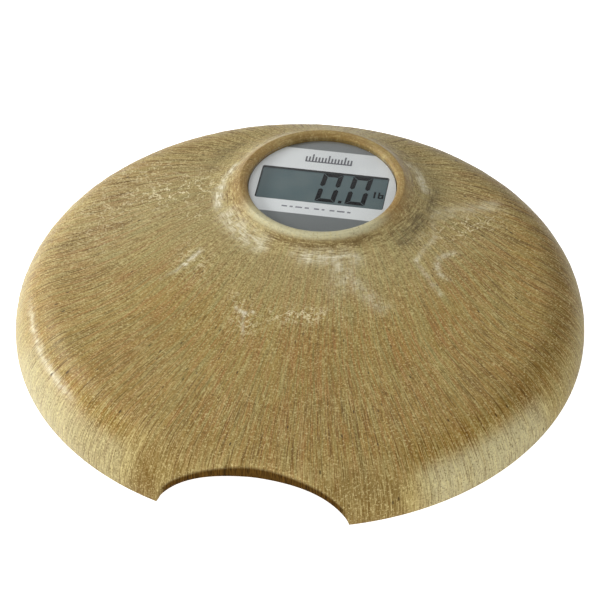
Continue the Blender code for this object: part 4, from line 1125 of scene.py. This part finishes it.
def build_screws():
    """Countersunk screws with a cross recess in each head."""
    segments, shank, edge = 48, 1.25 * MM, 0.15 * MM
    turns = [2.0 * math.pi * k / segments for k in range(segments)]
    for name in nodes_named("tray_screw"):
        low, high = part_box(name)
        at, head = middle(name), (high.x - low.x) / 2.0
        cross = [cross_reach(math.cos(a), math.sin(a), 0.66 * head, 0.17 * head) for a in turns]
        rings = [([shank] * segments, high.z), ([shank] * segments, low.z + 1.4 * MM),
                 ([head] * segments, low.z + edge), ([head - edge] * segments, low.z),
                 (cross, low.z), ([0.8 * reach for reach in cross], low.z + 0.9 * MM)]
        bm = bmesh.new()
        loops = []
        for reach, z in rings:
            loops.append([bm.verts.new((at.x + r * math.cos(a), at.y + r * math.sin(a), z))
                          for r, a in zip(reach, turns)])
        loops.append([bm.verts.new((at.x, at.y, low.z + 0.95 * MM))] * segments)
        for first, second in zip(loops, loops[1:]):
            bridge(bm, first, second)
        bm.faces.new(loops[0][::-1])
        add_solid(name + "_cross", bm, [STEEL], stands_for=[name], sharp=28.0)


def cross_reach(c, s, long, wide):
    """Distance from the middle of a cross to its outline in the direction (c, s)."""
    c, s = max(abs(c), 1e-9), max(abs(s), 1e-9)
    return max(min(long / c, wide / s), min(wide / c, long / s))


def build_label_print():
    """Plain ruled frame and lines on the underside label."""
    low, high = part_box("rating_label")
    inset, pen = 2.0 * MM, 0.35 * MM
    left, right, front, back = low.x + inset, high.x - inset, low.y + inset, high.y - inset
    bars = [(left, right, front, front + pen), (left, right, back - pen, back),
            (left, left + pen, front + pen, back - pen), (right - pen, right, front + pen, back - pen)]
    bars += [(left + 4.0 * MM, right - (4.0 + 7.0 * (k % 3)) * MM, y, y + pen)
             for k, y in enumerate(np.arange(front + 4.5 * MM, back - 3.0 * MM, 3.4 * MM).tolist())]
    low_z, high_z = low.z - 0.04 * MM, low.z + 0.02 * MM
    flat_marks("label_lines", [rectangle(*bar) for bar in bars], low_z, high_z, DASH_INK)


build_hoop()
build_ribs()
build_posts()
build_tray_relief()
build_treads()
build_screws()
build_label_print()


# ---------------------------------------------------------------- carried-over CAD nodes
FINISHES = {
    "base_tray": TRAY_PLASTIC,
    "battery_1": BATTERY_WRAP,
    "battery_2": BATTERY_WRAP,
    "battery_door": make_plastic("door_plastic", (66, 61, 54), 0.5, depth=0.05),
    "battery_lead_black": make_plastic("wire_black", (26, 26, 28), 0.4),
    "battery_lead_red": make_plastic("wire_red", (168, 28, 24), 0.4),
    "cell_holder": INNER_PLASTIC,
    "cell_lead": make_plastic("wire_white", (224, 222, 216), 0.4),
    "contact_plate": NICKEL,
    "contact_spring": NICKEL,
    "controller_chip": EPOXY,
    "display_cup": INNER_PLASTIC,
    "display_screw": STEEL,
    "foot_cap": make_plastic("foot_plastic", (52, 48, 44), 0.5),
    "foot_pad": RUBBER,
    "lcd_panel": make_lcd(),
    "lcd_reflector": make_metal("reflector_foil", (0.62, 0.64, 0.62), 0.35),
    "lcd_ribbon": NICKEL,
    "lens_gasket": make_plastic("gasket_foam", (28, 28, 29), 0.9, grain=1800.0, depth=0.2, drift=0.3),
    "load_cell": STEEL,
    "main_board": make_board(),
    "rating_label": make_plastic("blank_label", (214, 213, 208), 0.45, grain=1200.0),
    "tray_screw": STEEL,
    "unit_button": make_plastic("button_plastic", (196, 190, 176), 0.4),
    "unit_switch": EPOXY,
}


def finish_nodes():
    for name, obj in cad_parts.items():
        for start, material in FINISHES.items():
            if name.startswith(start):
                obj.data.materials.clear()
                obj.data.materials.append(material)


finish_nodes()


# ---------------------------------------------------------------- floor, light and camera
def build_floor():
    mesh = bpy.data.meshes.new("floor")
    half, drop = 6.0, 0.5 * MM
    corners = [(x, y, 0.0) for x, y in rectangle(-half, half, -half, half)]
    mesh.from_pydata(corners, [], [(0, 1, 2, 3)])
    f = Finish("floor_white", roughness=0.9)
    shade = f.noise(f.place, 2.0, 1.0)
    f.colour(f.mix(f.step(shade, 0.3, 0.7), (0.9, 0.9, 0.9), (0.93, 0.93, 0.93)))
    f.feed(f.shader.inputs["Emission Color"], (1.0, 1.0, 1.0))
    seen = f.node("LightPath", "Is Camera Ray")
    f.feed(f.shader.inputs["Emission Strength"], f.step(seen, 0.0, 1.0, 0.42, 0.88))
    f.shader.inputs["Specular IOR Level"].default_value = 0.0
    open_below = f.node("BsdfTransparent", 0)
    f.surface(f.node("NewGeometry", "Backfacing"), f.shader.outputs[0], open_below)
    mesh.materials.append(f.material)
    floor = bpy.data.objects.new("floor", mesh)
    bpy.context.scene.collection.objects.link(floor)
    floor.location.z = -drop


def add_softbox(name, place, aim, width, height, power, shines=True):
    """Rectangular soft light looking at a point; one that doesn't shine leaves no highlight."""
    lamp = bpy.data.lights.new(name, "AREA")
    lamp.shape = "RECTANGLE"
    lamp.size, lamp.size_y = width, height
    lamp.energy = power
    obj = bpy.data.objects.new(name, lamp)
    obj.location = place
    obj.rotation_euler = (Vector(aim) - Vector(place)).to_track_quat("-Z", "Y").to_euler()
    obj.visible_glossy = shines
    bpy.context.scene.collection.objects.link(obj)


def build_light():
    world = bpy.data.worlds.new("studio")
    world.use_nodes = True
    background = world.node_tree.nodes["Background"]
    background.inputs["Color"].default_value = (1.0, 1.0, 1.0, 1.0)
    background.inputs["Strength"].default_value = 0.5
    bpy.context.scene.world = world
    middle_aim, near_aim = (0.0, 0.02, 0.02), (0.05, -0.05, 0.02)
    add_softbox("softbox_left", (-1.15, -0.05, 0.45), middle_aim, 0.9, 0.22, 12.0, shines=False)
    add_softbox("softbox_edge", (-1.15, -0.20, 0.45), middle_aim, 0.9, 0.12, 4.5)
    add_softbox("softbox_right", (0.60, -1.10, 0.36), near_aim, 0.45, 0.35, 5.5, shines=False)
    add_softbox("softbox_front", (0.62, -1.10, 0.36), near_aim, 0.45, 0.35, 1.8)
    add_softbox("softbox_back", (-0.85, 0.45, 0.95), (0.0, 0.0, 0.03), 0.25, 0.6, 4.0)


def build_camera():
    distance = 1.5536
    elevation, azimuth = math.radians(42.28), math.radians(9.54)
    look_up = 0.0081
    back = Vector((math.sin(azimuth) * math.cos(elevation), -math.cos(azimuth) * math.cos(elevation),
                   math.sin(elevation)))
    camera = bpy.data.cameras.new("camera")
    camera.sensor_width = 36.0
    camera.lens = 164.0
    camera.clip_start, camera.clip_end = 0.05, 30.0
    obj = bpy.data.objects.new("camera", camera)
    obj.location = Vector((0.0, CENTRE_Y, EDGE_Z)) + back * distance
    obj.rotation_mode = "QUATERNION"
    turn = (-back).to_track_quat("-Z", "Y")
    obj.rotation_quaternion = turn @ Matrix.Rotation(look_up, 3, "X").to_quaternion()
    bpy.context.scene.collection.objects.link(obj)
    bpy.context.scene.camera = obj


build_floor()
build_light()
build_camera()
bpy.context.scene.view_settings.view_transform = "Standard"
